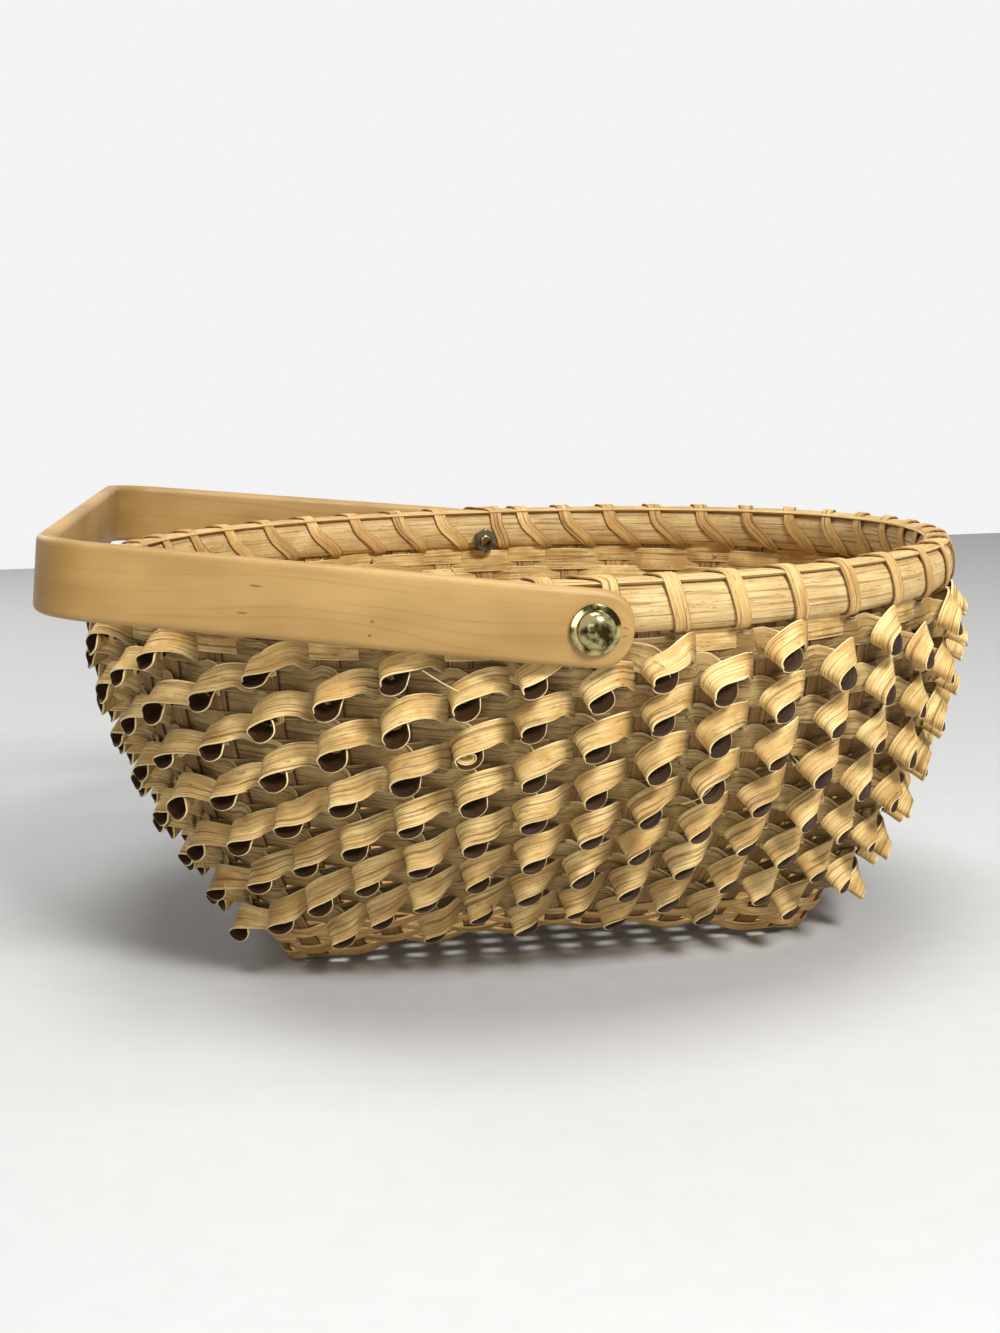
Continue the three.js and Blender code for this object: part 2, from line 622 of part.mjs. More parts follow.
// The handle in its own frame: the pivots lie on the Y axis and the arms run towards -X.
function handleGeometry() {
  const armY = ARM_INNER_FACE + HANDLE_THICKNESS / 2;
  const barX = -(HANDLE_REACH - HANDLE_THICKNESS / 2);
  const corner = new THREE.Vector2(barX, HANDLE_BAR_HALF_WIDTH);
  const sideways = new THREE.Vector2(0, 1);
  const armStart = new THREE.Vector2(-ARM_STRAIGHT_REACH, armY);
  const inward = corner.clone().sub(armStart).normalize();
  const turn = Math.PI / 2 + Math.atan2(-inward.y, -inward.x);
  const trim = HANDLE_BEND_RADIUS * Math.tan((Math.PI - turn) / 2);
  const bendStart = corner.clone().addScaledVector(inward, -trim);
  const armNormal = new THREE.Vector2(inward.y, -inward.x);
  if (armNormal.y < 0) {
    armNormal.negate();
  }
  const centre = bendStart.clone().addScaledVector(armNormal, -HANDLE_BEND_RADIUS);
  const half = [];
  const endRadius = HANDLE_WIDTH / 2;
  for (let k = 0; k <= ARM_END_STEPS; k += 1) {
    const angle = ((Math.PI / 2) * (ARM_END_STEPS + 0.35 - k)) / (ARM_END_STEPS + 0.35);
    const place = new THREE.Vector2(endRadius * Math.sin(angle), armY);
    half.push({ place, normal: sideways, height: HANDLE_WIDTH * Math.cos(angle) });
  }
  const kink = sideways.clone().add(armNormal).normalize();
  half.push({ place: armStart, normal: kink, height: HANDLE_WIDTH });
  const startAngle = Math.atan2(armNormal.y, armNormal.x);
  for (let k = 0; k <= BEND_STEPS; k += 1) {
    const angle = startAngle + ((Math.PI - startAngle) * k) / BEND_STEPS;
    const normal = new THREE.Vector2(Math.cos(angle), Math.sin(angle));
    half.push({ place: centre.clone().addScaledVector(normal, HANDLE_BEND_RADIUS), normal, height: HANDLE_WIDTH });
  }
  const ring = ({ place, normal, height }, side) =>
    bandSection(
      new THREE.Vector3(place.x, side * place.y, 0),
      new THREE.Vector3(normal.x, side * normal.y, 0),
      height,
    );
  const farArm = half.map((part) => ring(part, 1));
  const nearArm = half.map((part) => ring(part, -1)).reverse();
  const band = solidOf(loft([...farArm, ...nearArm], false));
  const reach = armY + HANDLE_THICKNESS + CUT_OVERRUN;
  return geometryOf(band.subtract(pivotDrill(-reach, reach, 0)));
}

function buildHandle() {
  const handle = addMesh("swing_handle", handleGeometry(), COLOURS.handle);
  handle.position.z = PIVOT_HEIGHT;
  handle.rotation.y = HANDLE_REST_TILT;
}

// A flat ring along Y. The inner face lies at the distance from the middle of the basket.
function washerGeometry(diameter, thickness) {
  const r = diameter / 2;
  const profile = [
    new THREE.Vector2(HOLE_RADIUS, 0),
    new THREE.Vector2(r, 0),
    new THREE.Vector2(r, thickness),
    new THREE.Vector2(HOLE_RADIUS, thickness),
    new THREE.Vector2(HOLE_RADIUS, 0),
  ];
  return new THREE.LatheGeometry(profile, ROUND_SIDES);
}

// The bolt along Y from its inner end at zero: a shank and a domed head.
function boltGeometry(shankLength) {
  const r = BOLT_DIAMETER / 2;
  const headRadius = BOLT_HEAD_DIAMETER / 2;
  const profile = [
    new THREE.Vector2(0, 0),
    new THREE.Vector2(r, 0),
    new THREE.Vector2(r, shankLength),
    new THREE.Vector2(headRadius, shankLength),
  ];
  for (let k = 1; k <= DOME_STEPS; k += 1) {
    const angle = ((Math.PI / 2) * k) / DOME_STEPS;
    const x = k === DOME_STEPS ? 0 : headRadius * Math.cos(angle);
    profile.push(new THREE.Vector2(x, shankLength + BOLT_HEAD_HEIGHT * Math.sin(angle)));
  }
  return new THREE.LatheGeometry(profile, ROUND_SIDES);
}

function nutGeometry() {
  const outline = new THREE.Shape();
  const radius = NUT_ACROSS_FLATS / 2 / Math.cos(Math.PI / 6);
  for (let k = 0; k < 6; k += 1) {
    const angle = (Math.PI * k) / 3;
    const x = radius * Math.cos(angle);
    const y = radius * Math.sin(angle);
    if (k === 0) {
      outline.moveTo(x, y);
    } else {
      outline.lineTo(x, y);
    }
  }
  outline.closePath();
  const hole = new THREE.Path();
  hole.absarc(0, 0, HOLE_RADIUS, 0, 2 * Math.PI, true);
  outline.holes.push(hole);
  const nut = new THREE.ExtrudeGeometry(outline, {
    depth: NUT_THICKNESS,
    bevelEnabled: false,
    curveSegments: ROUND_SIDES,
  });
  return nut.rotateX(-Math.PI / 2);
}

// Pivot hardware of one side, laid out from the inner end of the bolt towards its head.
function buildPivot(side, name) {
  const hoopInside = RIM_HALF_WIDTH - STAKE_INSET + innerFace;
  const nutInner = hoopInside - SEAT_GAP - NUT_THICKNESS;
  const boltEnd = nutInner - BOLT_PAST_NUT;
  const spacerInner = RIM_HALF_WIDTH + SEAT_GAP;
  const spacerThickness = ARM_TO_RIM - 2 * SEAT_GAP;
  const washerInner = ARM_INNER_FACE + HANDLE_THICKNESS + SEAT_GAP;
  const shankLength = washerInner + WASHER_THICKNESS + SEAT_GAP - boltEnd;
  const place = (geometry, label, y, colour) => {
    const mesh = addMesh(`${name}_${label}`, geometry, colour, true);
    mesh.position.set(0, side * y, PIVOT_HEIGHT);
    mesh.rotation.x = side > 0 ? 0 : Math.PI;
  };
  place(boltGeometry(shankLength), "pivot_bolt", boltEnd, COLOURS.metal);
  place(washerGeometry(WASHER_DIAMETER, WASHER_THICKNESS), "pivot_washer", washerInner, COLOURS.metal);
  place(washerGeometry(SPACER_DIAMETER, spacerThickness), "spacer_washer", spacerInner, COLOURS.metal);
  place(nutGeometry(), "pivot_nut", nutInner, COLOURS.nut);
}

buildSplints();
buildFootWeavers();
buildCurlRows();
buildRim();
buildLashing();
buildHandle();
buildPivot(-1, "near");
buildPivot(1, "far");

// The origin lies under the middle of the whole part, with the handle folded down.
const extent = new THREE.Box3().setFromObject(basket, true);
basket.position.x = -(extent.min.x + extent.max.x) / 2;

export default basket;
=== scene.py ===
# A splint basket with curled weavers, a lashed rim and a bent wooden swing handle.
# Lengths are in millimetres in the basket's own frame and are turned into metres when a mesh is made.
import bisect
import math
import random
import bmesh
import bpy
from mathutils import Matrix, Vector, noise


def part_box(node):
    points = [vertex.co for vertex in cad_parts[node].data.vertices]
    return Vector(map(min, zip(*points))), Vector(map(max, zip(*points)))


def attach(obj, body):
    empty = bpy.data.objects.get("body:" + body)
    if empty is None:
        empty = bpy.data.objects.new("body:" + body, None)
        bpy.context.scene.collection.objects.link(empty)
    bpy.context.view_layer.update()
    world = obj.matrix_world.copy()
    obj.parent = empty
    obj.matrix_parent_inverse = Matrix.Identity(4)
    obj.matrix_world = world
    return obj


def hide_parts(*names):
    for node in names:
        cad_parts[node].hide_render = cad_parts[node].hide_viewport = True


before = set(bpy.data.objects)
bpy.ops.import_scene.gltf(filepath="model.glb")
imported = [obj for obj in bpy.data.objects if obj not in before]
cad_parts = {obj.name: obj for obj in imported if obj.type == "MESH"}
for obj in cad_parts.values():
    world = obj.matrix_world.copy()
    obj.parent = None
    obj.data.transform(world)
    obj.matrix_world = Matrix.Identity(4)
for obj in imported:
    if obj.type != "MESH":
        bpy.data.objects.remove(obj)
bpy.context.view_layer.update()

METRES = 0.001
PER_MM = 1 / METRES
UP = Vector((0, 0, 1))
RANDOM = random.Random(11)

# Rim, stakes and base, as in the CAD model
RIM_HALF_LENGTH = 165
RIM_HALF_WIDTH = 149
RIM_HEIGHT = 151
RIM_SQUARENESS = 2.08
STAKE_CROWDING = 0.15
HOOP_HEIGHT = 15.5
OUTER_HOOP = 4.8
INNER_HOOP = 3.8
HOOP_GAP = 0.6
FILLER_HEIGHT = 2.2
SHORT_SPLINTS = 13
LONG_SPLINTS = 9
SPLINT_WIDTH = 8
SPLINT_THICKNESS = 0.9
BASE_HALF_LENGTH = 98
BASE_HALF_WIDTH = 52
SHORT_SPLINT_PITCH = 14.6
LONG_SPLINT_PITCH = 11.1
FOOT_HEIGHT = 0.6
BASE_ARCH = 8
STAKE_TOP_BELOW_RIM = 4
BASE_WEAVE = 0.55

# Bands of the wall
CURL_ROWS = 13
TOP_ROW = 0.946
BOTTOM_ROW = 0.165
FOOT_WEAVERS = 4
FOOT_WEAVER_WIDTH = 4.9
FOOT_WEAVER_PITCH = 5.9
FIRST_FOOT_WEAVER_AT = 1.6
STRIP_WIDTH = 8.1
STRIP_THICKNESS = 0.9
FULL_PITCH = 21
ARC_SAMPLES = 720

# Swing handle
HANDLE_WIDTH = 25
HANDLE_THICKNESS = 5.8
HANDLE_REACH = 175
HANDLE_BAR_HALF_WIDTH = 131
HANDLE_BEND_RADIUS = 20
HANDLE_EDGE_ROUNDING = 2.3
HANDLE_REST_RISE = 20.25
PIVOT_BELOW_RIM = 13
ARM_TO_RIM = 3.2
ARM_STRAIGHT_REACH = 18

# Bolt, washers and nut
BOLT_DIAMETER = 4.8
BOLT_HEAD_DIAMETER = 12.6
BOLT_HEAD_HEIGHT = 4.2
BOLT_PAST_NUT = 3
BOLT_GAP = 0.3
SEAT_GAP = 0.3
WASHER_DIAMETER = 16.2
WASHER_THICKNESS = 1.4
SPACER_DIAMETER = 13
NUT_ACROSS_FLATS = 9.6
NUT_THICKNESS = 4.2
HOLE_DIAMETER = BOLT_DIAMETER + 2 * BOLT_GAP
BORE_SEGMENTS = 32

STAKES = 2 * (SHORT_SPLINTS + LONG_SPLINTS)
NEAR_MIDDLE = (SHORT_SPLINTS - 1) / 2
HOOP_TOP = RIM_HEIGHT - FILLER_HEIGHT / 2
HOOP_BOTTOM = HOOP_TOP - HOOP_HEIGHT
STAKE_INSET = OUTER_HOOP + HOOP_GAP + SPLINT_THICKNESS / 2
HOOP_BACK = SPLINT_THICKNESS / 2 + HOOP_GAP
PIVOT_HEIGHT = RIM_HEIGHT - PIVOT_BELOW_RIM
ARM_INNER_FACE = RIM_HALF_WIDTH + ARM_TO_RIM
REST_TILT = math.atan(HANDLE_REST_RISE / HANDLE_REACH)
IN_FRONT = SPLINT_THICKNESS / 2 + STRIP_THICKNESS / 2 + 0.15
BEHIND = -IN_FRONT

low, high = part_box("near_pivot_bolt")
SHIFT = Vector(((low.x + high.x) / 2, 0, 0))


# Plan of the rim: a slightly squared ellipse, drawn in by the inset.
def rim_plan(angle, inset):
    power = 2 / RIM_SQUARENESS
    c = math.cos(angle)
    s = math.sin(angle)
    x = (RIM_HALF_LENGTH - inset) * math.copysign(abs(c) ** power, c)
    y = (RIM_HALF_WIDTH - inset) * math.copysign(abs(s) ** power, s)
    return Vector((x, y, 0))


def arc_lengths():
    lengths = [0.0]
    before = rim_plan(-math.pi / 2, STAKE_INSET)
    for i in range(1, ARC_SAMPLES + 1):
        here = rim_plan(-math.pi / 2 + 2 * math.pi * i / ARC_SAMPLES, STAKE_INSET)
        lengths.append(lengths[-1] + (here - before).length)
        before = here
    return lengths


ARC = arc_lengths()


# Angle of the rim at a place counted in stakes, which need not be whole.
def rim_angle(stake):
    place = stake - NEAR_MIDDLE
    place -= STAKE_CROWDING * math.sin(8 * math.pi * place / STAKES)
    wanted = (place / STAKES) % 1 * ARC[-1]
    i = max(1, bisect.bisect_left(ARC, wanted))
    part = (wanted - ARC[i - 1]) / (ARC[i] - ARC[i - 1])
    return -math.pi / 2 + 2 * math.pi * (i - 1 + part) / ARC_SAMPLES


def base_corner(stake):
    i = stake % STAKES
    if i < SHORT_SPLINTS:
        return Vector(((i - NEAR_MIDDLE) * SHORT_SPLINT_PITCH, -BASE_HALF_WIDTH, 0))
    if i < SHORT_SPLINTS + LONG_SPLINTS:
        across = (i - SHORT_SPLINTS - (LONG_SPLINTS - 1) / 2) * LONG_SPLINT_PITCH
        return Vector((BASE_HALF_LENGTH, across, 0))
    return -base_corner(i - SHORT_SPLINTS - LONG_SPLINTS)


def curve(p0, p1, p2, p3, t):
    a = 2 * p1
    b = (p2 - p0) * t
    c = (2 * p0 - 5 * p1 + 4 * p2 - p3) * t * t
    d = (3 * p1 - p0 - 3 * p2 + p3) * t * t * t
    return (a + b + c + d) * 0.5


def base_edge(stake):
    i = math.floor(stake)
    return curve(*(base_corner(i + k) for k in (-1, 0, 1, 2)), stake - i)


def base_height(x, y):
    share = min(1, (x / BASE_HALF_LENGTH) ** 2 * abs(y / BASE_HALF_WIDTH))
    return FOOT_HEIGHT + BASE_ARCH * (1 - share)


# Point of the wall at a place counted in stakes and a share of its height.
def wall(stake, share):
    foot = base_edge(stake)
    top = rim_plan(rim_angle(stake), STAKE_INSET)
    point = foot.lerp(top, share * (2 - share))
    foot_z = base_height(foot.x, foot.y)
    point.z = foot_z + (HOOP_BOTTOM - foot_z) * share
    return point


class Place:
    """A spot on the wall with its directions: left as seen from outside, out and rise."""

    def __init__(self, stake, share):
        self.stake = stake
        self.share = share
        self.point = wall(stake, share)
        self.rise = (wall(stake, share + 0.01) - wall(stake, share - 0.01)).normalized()
        left = wall(stake - 0.5, share) - wall(stake + 0.5, share)
        self.pitch = left.length
        left -= self.rise * left.dot(self.rise)
        self.left = left.normalized()
        self.out = self.rise.cross(self.left)

    def at(self, s, n, z):
        return self.point + self.left * s + self.out * n + self.rise * z

    def turn(self, s, n, z):
        return (self.left * s + self.out * n + self.rise * z).normalized()


def row_share(row):
    return TOP_ROW - (row - 1) * (TOP_ROW - BOTTOM_ROW) / (CURL_ROWS - 1)


# Height share of a band placed at a length up the mean slope of the wall.
def share_at_slope(length):
    flare = (RIM_HALF_LENGTH + RIM_HALF_WIDTH - BASE_HALF_LENGTH - BASE_HALF_WIDTH) / 2 - STAKE_INSET
    climb = HOOP_BOTTOM - FOOT_HEIGHT - BASE_ARCH
    walked = 0
    before = (0, 0)
    for i in range(1, ARC_SAMPLES + 1):
        share = i / ARC_SAMPLES
        here = (flare * share * (2 - share), climb * share)
        walked += math.dist(before, here)
        before = here
        if walked >= length:
            return share
    return 1


# Strips: a key is a centre, the direction from the lower to the upper edge, a width, a tone and, where faces
# take painted shade, how much painted shade the outer and the inner one take.
FLAT_SECTION = [(-0.5, 0.12), (-0.465, 0.42), (-0.17, 0.5), (0.17, 0.5), (0.465, 0.42), (0.5, 0.12),
                (0.5, -0.2), (0.465, -0.5), (-0.465, -0.5), (-0.5, -0.2)]
LASHING_WIDTH = 5.6
MAPPED_WIDTHS = {"weaver": STRIP_WIDTH, "splint": SPLINT_WIDTH, "foot_weaver": FOOT_WEAVER_WIDTH,
                 "lashing": LASHING_WIDTH}
STEP_LENGTH = 4.8
STEP_TURN = math.radians(14)
WIDTH_WANDER = 0.03
WANDERS_PER_MM = 0.09

# Angles between faces from which an edge is drawn sharp
WOOD_EDGE = 38
HANDLE_EDGE = 50
METAL_EDGE = 34


def painted_shade_of(key):
    return key[4] if len(key) > 4 else (0, 0)


def resampled(keys, closed):
    count = len(keys)
    last = count if closed else count - 1
    found = []
    for i in range(last):
        if closed:
            k = [keys[(i + d) % count] for d in (-1, 0, 1, 2)]
        else:
            k = [keys[min(max(i + d, 0), count - 1)] for d in (-1, 0, 1, 2)]
        chord = k[2][0] - k[1][0]
        turn = chord.angle(k[1][0] - k[0][0], 0) + chord.angle(k[3][0] - k[2][0], 0)
        turn = turn / 2 + k[1][1].angle(k[2][1], 0)
        steps = max(1, round(chord.length / STEP_LENGTH + turn / STEP_TURN))
        for j in range(steps):
            t = j / steps
            centre = curve(*(key[0] for key in k), t)
            across = curve(*(key[1] for key in k), t)
            width = k[1][2] + (k[2][2] - k[1][2]) * t
            tone = k[1][3] if t < 0.5 else k[2][3]
            painted_shade = [a + (b - a) * t for a, b in zip(painted_shade_of(k[1]), painted_shade_of(k[2]))]
            found.append((centre, across, width, tone, painted_shade))
    if not closed:
        found.append((*keys[-1][:4], painted_shade_of(keys[-1])))
    return found


def add_object(name, data):
    made = bpy.data.objects.new(name, data)
    bpy.context.scene.collection.objects.link(made)
    return made


def add_mesh(name, points, faces, maps, slot, nodes, body="basket", sharp=WOOD_EDGE):
    mesh = bpy.data.meshes.new(name)
    mesh.from_pydata([(p * METRES + SHIFT)[:] for p in points], [], faces)
    for map_name, values in maps.items():
        layer = mesh.uv_layers.new(name=map_name)
        layer.uv.foreach_set("vector", [number for pair in values for number in pair])
    mesh.materials.append(MATERIALS[slot])
    mesh.validate()
    work = bmesh.new()
    work.from_mesh(mesh)
    if work.calc_volume(signed=True) < 0:
        bmesh.ops.reverse_faces(work, faces=work.faces)
    work.to_mesh(mesh)
    work.free()
    mesh.polygons.foreach_set("use_smooth", [True] * len(mesh.polygons))
    mesh.set_sharp_from_angle(angle=math.radians(sharp))
    piece = add_object(name, mesh)
    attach(piece, body)
    if nodes:
        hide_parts(*nodes)
    return piece


# Rings of as many points each become one closed surface with a map of length and width in metres.
def add_rings(name, rings, closed, lengths, widths, tones, slot, nodes, painted_shades=None, **more):
    count = len(rings[0])
    total = len(rings)
    points = [p for ring in rings for p in ring]
    faces = []
    grain = []
    tone = []
    for r in range(total if closed else total - 1):
        after = (r + 1) % total
        here_u = lengths[r] * METRES
        next_u = lengths[r + 1] * METRES
        for c in range(count):
            d = (c + 1) % count
            faces.append((r * count + c, r * count + d, after * count + d, after * count + c))
            here_v = widths[c] * METRES
            next_v = widths[d] * METRES
            grain += [(here_u, here_v), (here_u, next_v), (next_u, next_v), (next_u, here_v)]
            # Each face takes the painted shade of the outer or of the inner face, by which way its width
            # runs.
            inner = next_v < here_v
            here_painted_shade = painted_shades[r][inner] if painted_shades else 0
            next_painted_shade = painted_shades[after][inner] if painted_shades else 0
            tone += [(tones[r], here_painted_shade)] * 2 + [(tones[r], next_painted_shade)] * 2
    if not closed:
        for r, corners in ((0, range(count - 1, -1, -1)), (total - 1, range(count))):
            faces.append(tuple(r * count + c for c in corners))
            grain += [(lengths[r] * METRES, widths[c] * METRES) for c in corners]
            tone += [(tones[r], 0)] * count
    return add_mesh(name, points, faces, {"Grain": grain, "Tone": tone}, slot, nodes, **more)


def add_strip(name, keys, closed, thickness, slot, nodes):
    samples = resampled(keys, closed)
    total = len(samples)
    rings = []
    lengths = [0.0]
    for i, (centre, across, width, tone, painted_shade) in enumerate(samples):
        if closed:
            before = samples[i - 1][0]
            after = samples[(i + 1) % total][0]
        else:
            before = samples[max(i - 1, 0)][0]
            after = samples[min(i + 1, total - 1)][0]
        along = (after - before).normalized()
        over = (across - along * across.dot(along)).normalized()
        face = over.cross(along)
        wander = 1 + WIDTH_WANDER * noise.noise(centre * WANDERS_PER_MM)
        wide = width * wander
        rings.append([centre + over * (a * wide) + face * (b * thickness) for a, b in FLAT_SECTION])
        lengths.append(lengths[-1] + (samples[(i + 1) % total][0] - centre).length)
    widths = [a * MAPPED_WIDTHS[slot] for a, _ in FLAT_SECTION]
    tones = [sample[3] for sample in samples]
    painted_shades = [sample[4] for sample in samples]
    add_rings(name, rings, closed, lengths, widths, tones, slot, nodes, painted_shades)


# Materials
class Graph:
    """Adds nodes to one material with short calls."""

    def __init__(self, name):
        self.material = bpy.data.materials.new(name)
        self.material.use_nodes = True
        self.tree = self.material.node_tree
        self.tree.nodes.clear()
        self.shader = self.tree.nodes.new("ShaderNodeBsdfPrincipled")
        output = self.tree.nodes.new("ShaderNodeOutputMaterial")
        self.tree.links.new(self.shader.outputs["BSDF"], output.inputs["Surface"])

    def put(self, value, target):
        if isinstance(value, bpy.types.NodeSocket):
            self.tree.links.new(value, target)
        else:
            target.default_value = value

    def math(self, operation, *values):
        node = self.tree.nodes.new("ShaderNodeMath")
        node.operation = operation
        for value, target in zip(values, node.inputs):
            self.put(value, target)
        return node.outputs[0]

    def map(self, name):
        node = self.tree.nodes.new("ShaderNodeUVMap")
        node.uv_map = name
        parts = self.tree.nodes.new("ShaderNodeSeparateXYZ")
        self.tree.links.new(node.outputs[0], parts.inputs[0])
        return parts.outputs["X"], parts.outputs["Y"]

    def vector(self, x, y, z=0.0):
        node = self.tree.nodes.new("ShaderNodeCombineXYZ")
        for value, target in zip((x, y, z), node.inputs):
            self.put(value, target)
        return node.outputs[0]

    def noise(self, vector, scale=1.0, detail=3.0):
        node = self.tree.nodes.new("ShaderNodeTexNoise")
        self.tree.links.new(vector, node.inputs["Vector"])
        node.inputs["Scale"].default_value = scale
        node.inputs["Detail"].default_value = detail
        return node.outputs["Fac"]

    def fibres(self, u, v, seed, pattern):
        along, across, detail = pattern
        place = self.vector(self.math("MULTIPLY", u, along), self.math("MULTIPLY", v, across), seed)
        return self.noise(place, detail=detail)

    def grain_in_mm(self):
        return [self.math("MULTIPLY", part, PER_MM) for part in self.map("Grain")]

    def place(self):
        node = self.tree.nodes.new("ShaderNodeTexCoord")
        return node.outputs["Object"]

    def spread(self, value, low, high, to_low=0.0, to_high=1.0):
        node = self.tree.nodes.new("ShaderNodeMapRange")
        node.interpolation_type = "SMOOTHSTEP"
        for number, target in zip((value, low, high, to_low, to_high), node.inputs):
            self.put(number, target)
        return node.outputs["Result"]

    def mix(self, share, first, second, blend="MIX"):
        node = self.tree.nodes.new("ShaderNodeMix")
        node.data_type = "RGBA"
        node.blend_type = blend
        self.put(share, node.inputs["Factor"])
        colours = [s for s in node.inputs if s.type == "RGBA"]
        self.put(first, colours[0])
        self.put(second, colours[1])
        return next(s for s in node.outputs if s.type == "RGBA")

    def bump(self, height, strength, distance):
        node = self.tree.nodes.new("ShaderNodeBump")
        node.inputs["Strength"].default_value = strength
        node.inputs["Distance"].default_value = distance * METRES
        self.tree.links.new(height, node.inputs["Height"])
        self.tree.links.new(node.outputs["Normal"], self.shader.inputs["Normal"])


def colour(red, green, blue):
    def linear(value):
        share = value / 255
        return share / 12.92 if share <= 0.04045 else ((share + 0.055) / 1.055) ** 2.4
    return (linear(red), linear(green), linear(blue), 1)


# Split wood seen along its fibres: pale ground, darker fibre lines, a colour of its own at the edges and
# tone by piece.
# The edge colour is a cut edge on the weavers, and painted shade on the stakes and the lashing.
# A pattern is how many spots it has per mm along and across the fibres, and its detail.
SPLIT_FIBRES = (0.05, 1.7, 4)
SPLIT_STREAKS = (0.025, 1.15, 2)
SPLIT_CLOUDS = (0.09, 0.14, 2)
SPLIT_FLECKS = (0.3, 2.6, 2)
SEED_PER_TONE = 57
EDGE_COLOUR_STARTS = 0.4
EDGE_COLOUR_FULL = 0.15
DARK_TONE_SHADES = (0.80, 0.76, 0.70)
PALE_TONE_SHADE = 1.06
# Colour multiplied in for painted shade on faces that lie deep in the weave or inside a curl's loop.
PAINTED_SHADE_TINT = (68, 52, 34)
SPLIT_ROUGHNESS = (0.52, 0.76)
SPLIT_GLOSS = 0.25


def splint_wood(name, pale, deep, line, edge, half_width, lines=0.6):
    g = Graph(name)
    u, v = g.grain_in_mm()
    tone, painted_shade = g.map("Tone")
    seed = g.math("MULTIPLY", tone, SEED_PER_TONE)
    fibre = g.fibres(u, v, seed, SPLIT_FIBRES)
    streak = g.fibres(u, v, seed, SPLIT_STREAKS)
    cloud = g.fibres(u, v, seed, SPLIT_CLOUDS)
    fleck = g.fibres(u, v, seed, SPLIT_FLECKS)
    ground = g.mix(g.spread(cloud, 0.3, 0.7), pale, deep)
    ground = g.mix(g.spread(fibre, 0.42, 0.62, 0.0, 0.85), ground, deep)
    ground = g.mix(g.math("MULTIPLY", g.spread(streak, 0.53, 0.66), lines), ground, line)
    ground = g.mix(g.spread(fleck, 0.62, 0.72, 0.0, 0.75), ground, line)
    from_middle = g.math("ABSOLUTE", v)
    border = g.spread(from_middle, half_width - EDGE_COLOUR_STARTS, half_width - EDGE_COLOUR_FULL, 0.0, 0.85)
    ground = g.mix(border, ground, edge)
    shade = g.vector(*[g.spread(tone, 0.0, 1.0, darkest, PALE_TONE_SHADE) for darkest in DARK_TONE_SHADES])
    ground = g.mix(1.0, ground, shade, "MULTIPLY")
    # Painted shade: the Tone map's second value darkens the face towards the shade tint.
    fully_shaded = g.mix(1.0, ground, colour(*PAINTED_SHADE_TINT), "MULTIPLY")
    ground = g.mix(g.spread(painted_shade, 0.0, 1.0), ground, fully_shaded)
    g.tree.links.new(ground, g.shader.inputs["Base Color"])
    g.tree.links.new(g.spread(fibre, 0.3, 0.7, *SPLIT_ROUGHNESS), g.shader.inputs["Roughness"])
    g.shader.inputs["Specular IOR Level"].default_value = SPLIT_GLOSS
    height = g.math("ADD", g.math("MULTIPLY", fibre, 0.7), g.math("MULTIPLY", streak, 0.5))
    g.bump(height, 0.75, 0.22)
    return g.material


# Smooth planed wood with a fine grain that bends slowly, and a few small dark marks.
PLANED_WAVES = (0.011, 0.03, 1)
PLANED_RINGS = (0.004, 0.55, 3)
PLANED_FIBRES = (0.09, 3.2, 3)
PLANED_CLOUDS = (0.02, 0.04, 2)
WAVE_HEIGHT = 16
PLANED_ROUGHNESS = (0.42, 0.56)
PLANED_GLOSS = 0.45

# Marks on the outer face of the handle: place along it from the middle of the bar and up it, and half sizes
HANDLE_MARKS = [(193.6, 4.0, 2.4, 0.5), (190, -4.8, 2.2, 0.4), (230.5, -3.7, 0.8, 0.6),
                (230, -8.1, 0.7, 0.6), (308.6, 1.8, 1.3, 0.5), (308.6, -1.9, 1.3, 0.5)]


def planed_wood(name, pale, deep, line):
    g = Graph(name)
    u, v = g.grain_in_mm()
    wave = g.fibres(u, v, 0.0, PLANED_WAVES)
    bent = g.math("ADD", v, g.math("MULTIPLY", wave, WAVE_HEIGHT))
    rings = g.fibres(u, bent, 3.0, PLANED_RINGS)
    fibre = g.fibres(u, v, 5.0, PLANED_FIBRES)
    cloud = g.fibres(u, v, 9.0, PLANED_CLOUDS)
    ground = g.mix(g.spread(cloud, 0.35, 0.7), pale, deep)
    ground = g.mix(g.spread(rings, 0.52, 0.72, 0.0, 0.25), ground, line)
    ground = g.mix(g.spread(fibre, 0.5, 0.8, 0.0, 0.18), ground, line)
    for place_u, place_v, long, wide in HANDLE_MARKS:
        du = g.math("DIVIDE", g.math("SUBTRACT", u, place_u), long)
        dv = g.math("DIVIDE", g.math("SUBTRACT", v, place_v), wide)
        reach = g.math("ADD", g.math("MULTIPLY", du, du), g.math("MULTIPLY", dv, dv))
        ground = g.mix(g.spread(reach, 1.0, 0.2, 0.0, 0.8), ground, line)
    g.tree.links.new(ground, g.shader.inputs["Base Color"])
    g.tree.links.new(g.spread(fibre, 0.3, 0.7, *PLANED_ROUGHNESS), g.shader.inputs["Roughness"])
    g.shader.inputs["Specular IOR Level"].default_value = PLANED_GLOSS
    g.bump(fibre, 0.25, 0.08)
    return g.material


# Worn plating: spots per metre of the dull patches and of the fine scratches, and how much rougher dull is
WEAR_SPOTS = 170
FINE_SPOTS = 1900
DULL_IS_ROUGHER = 0.16


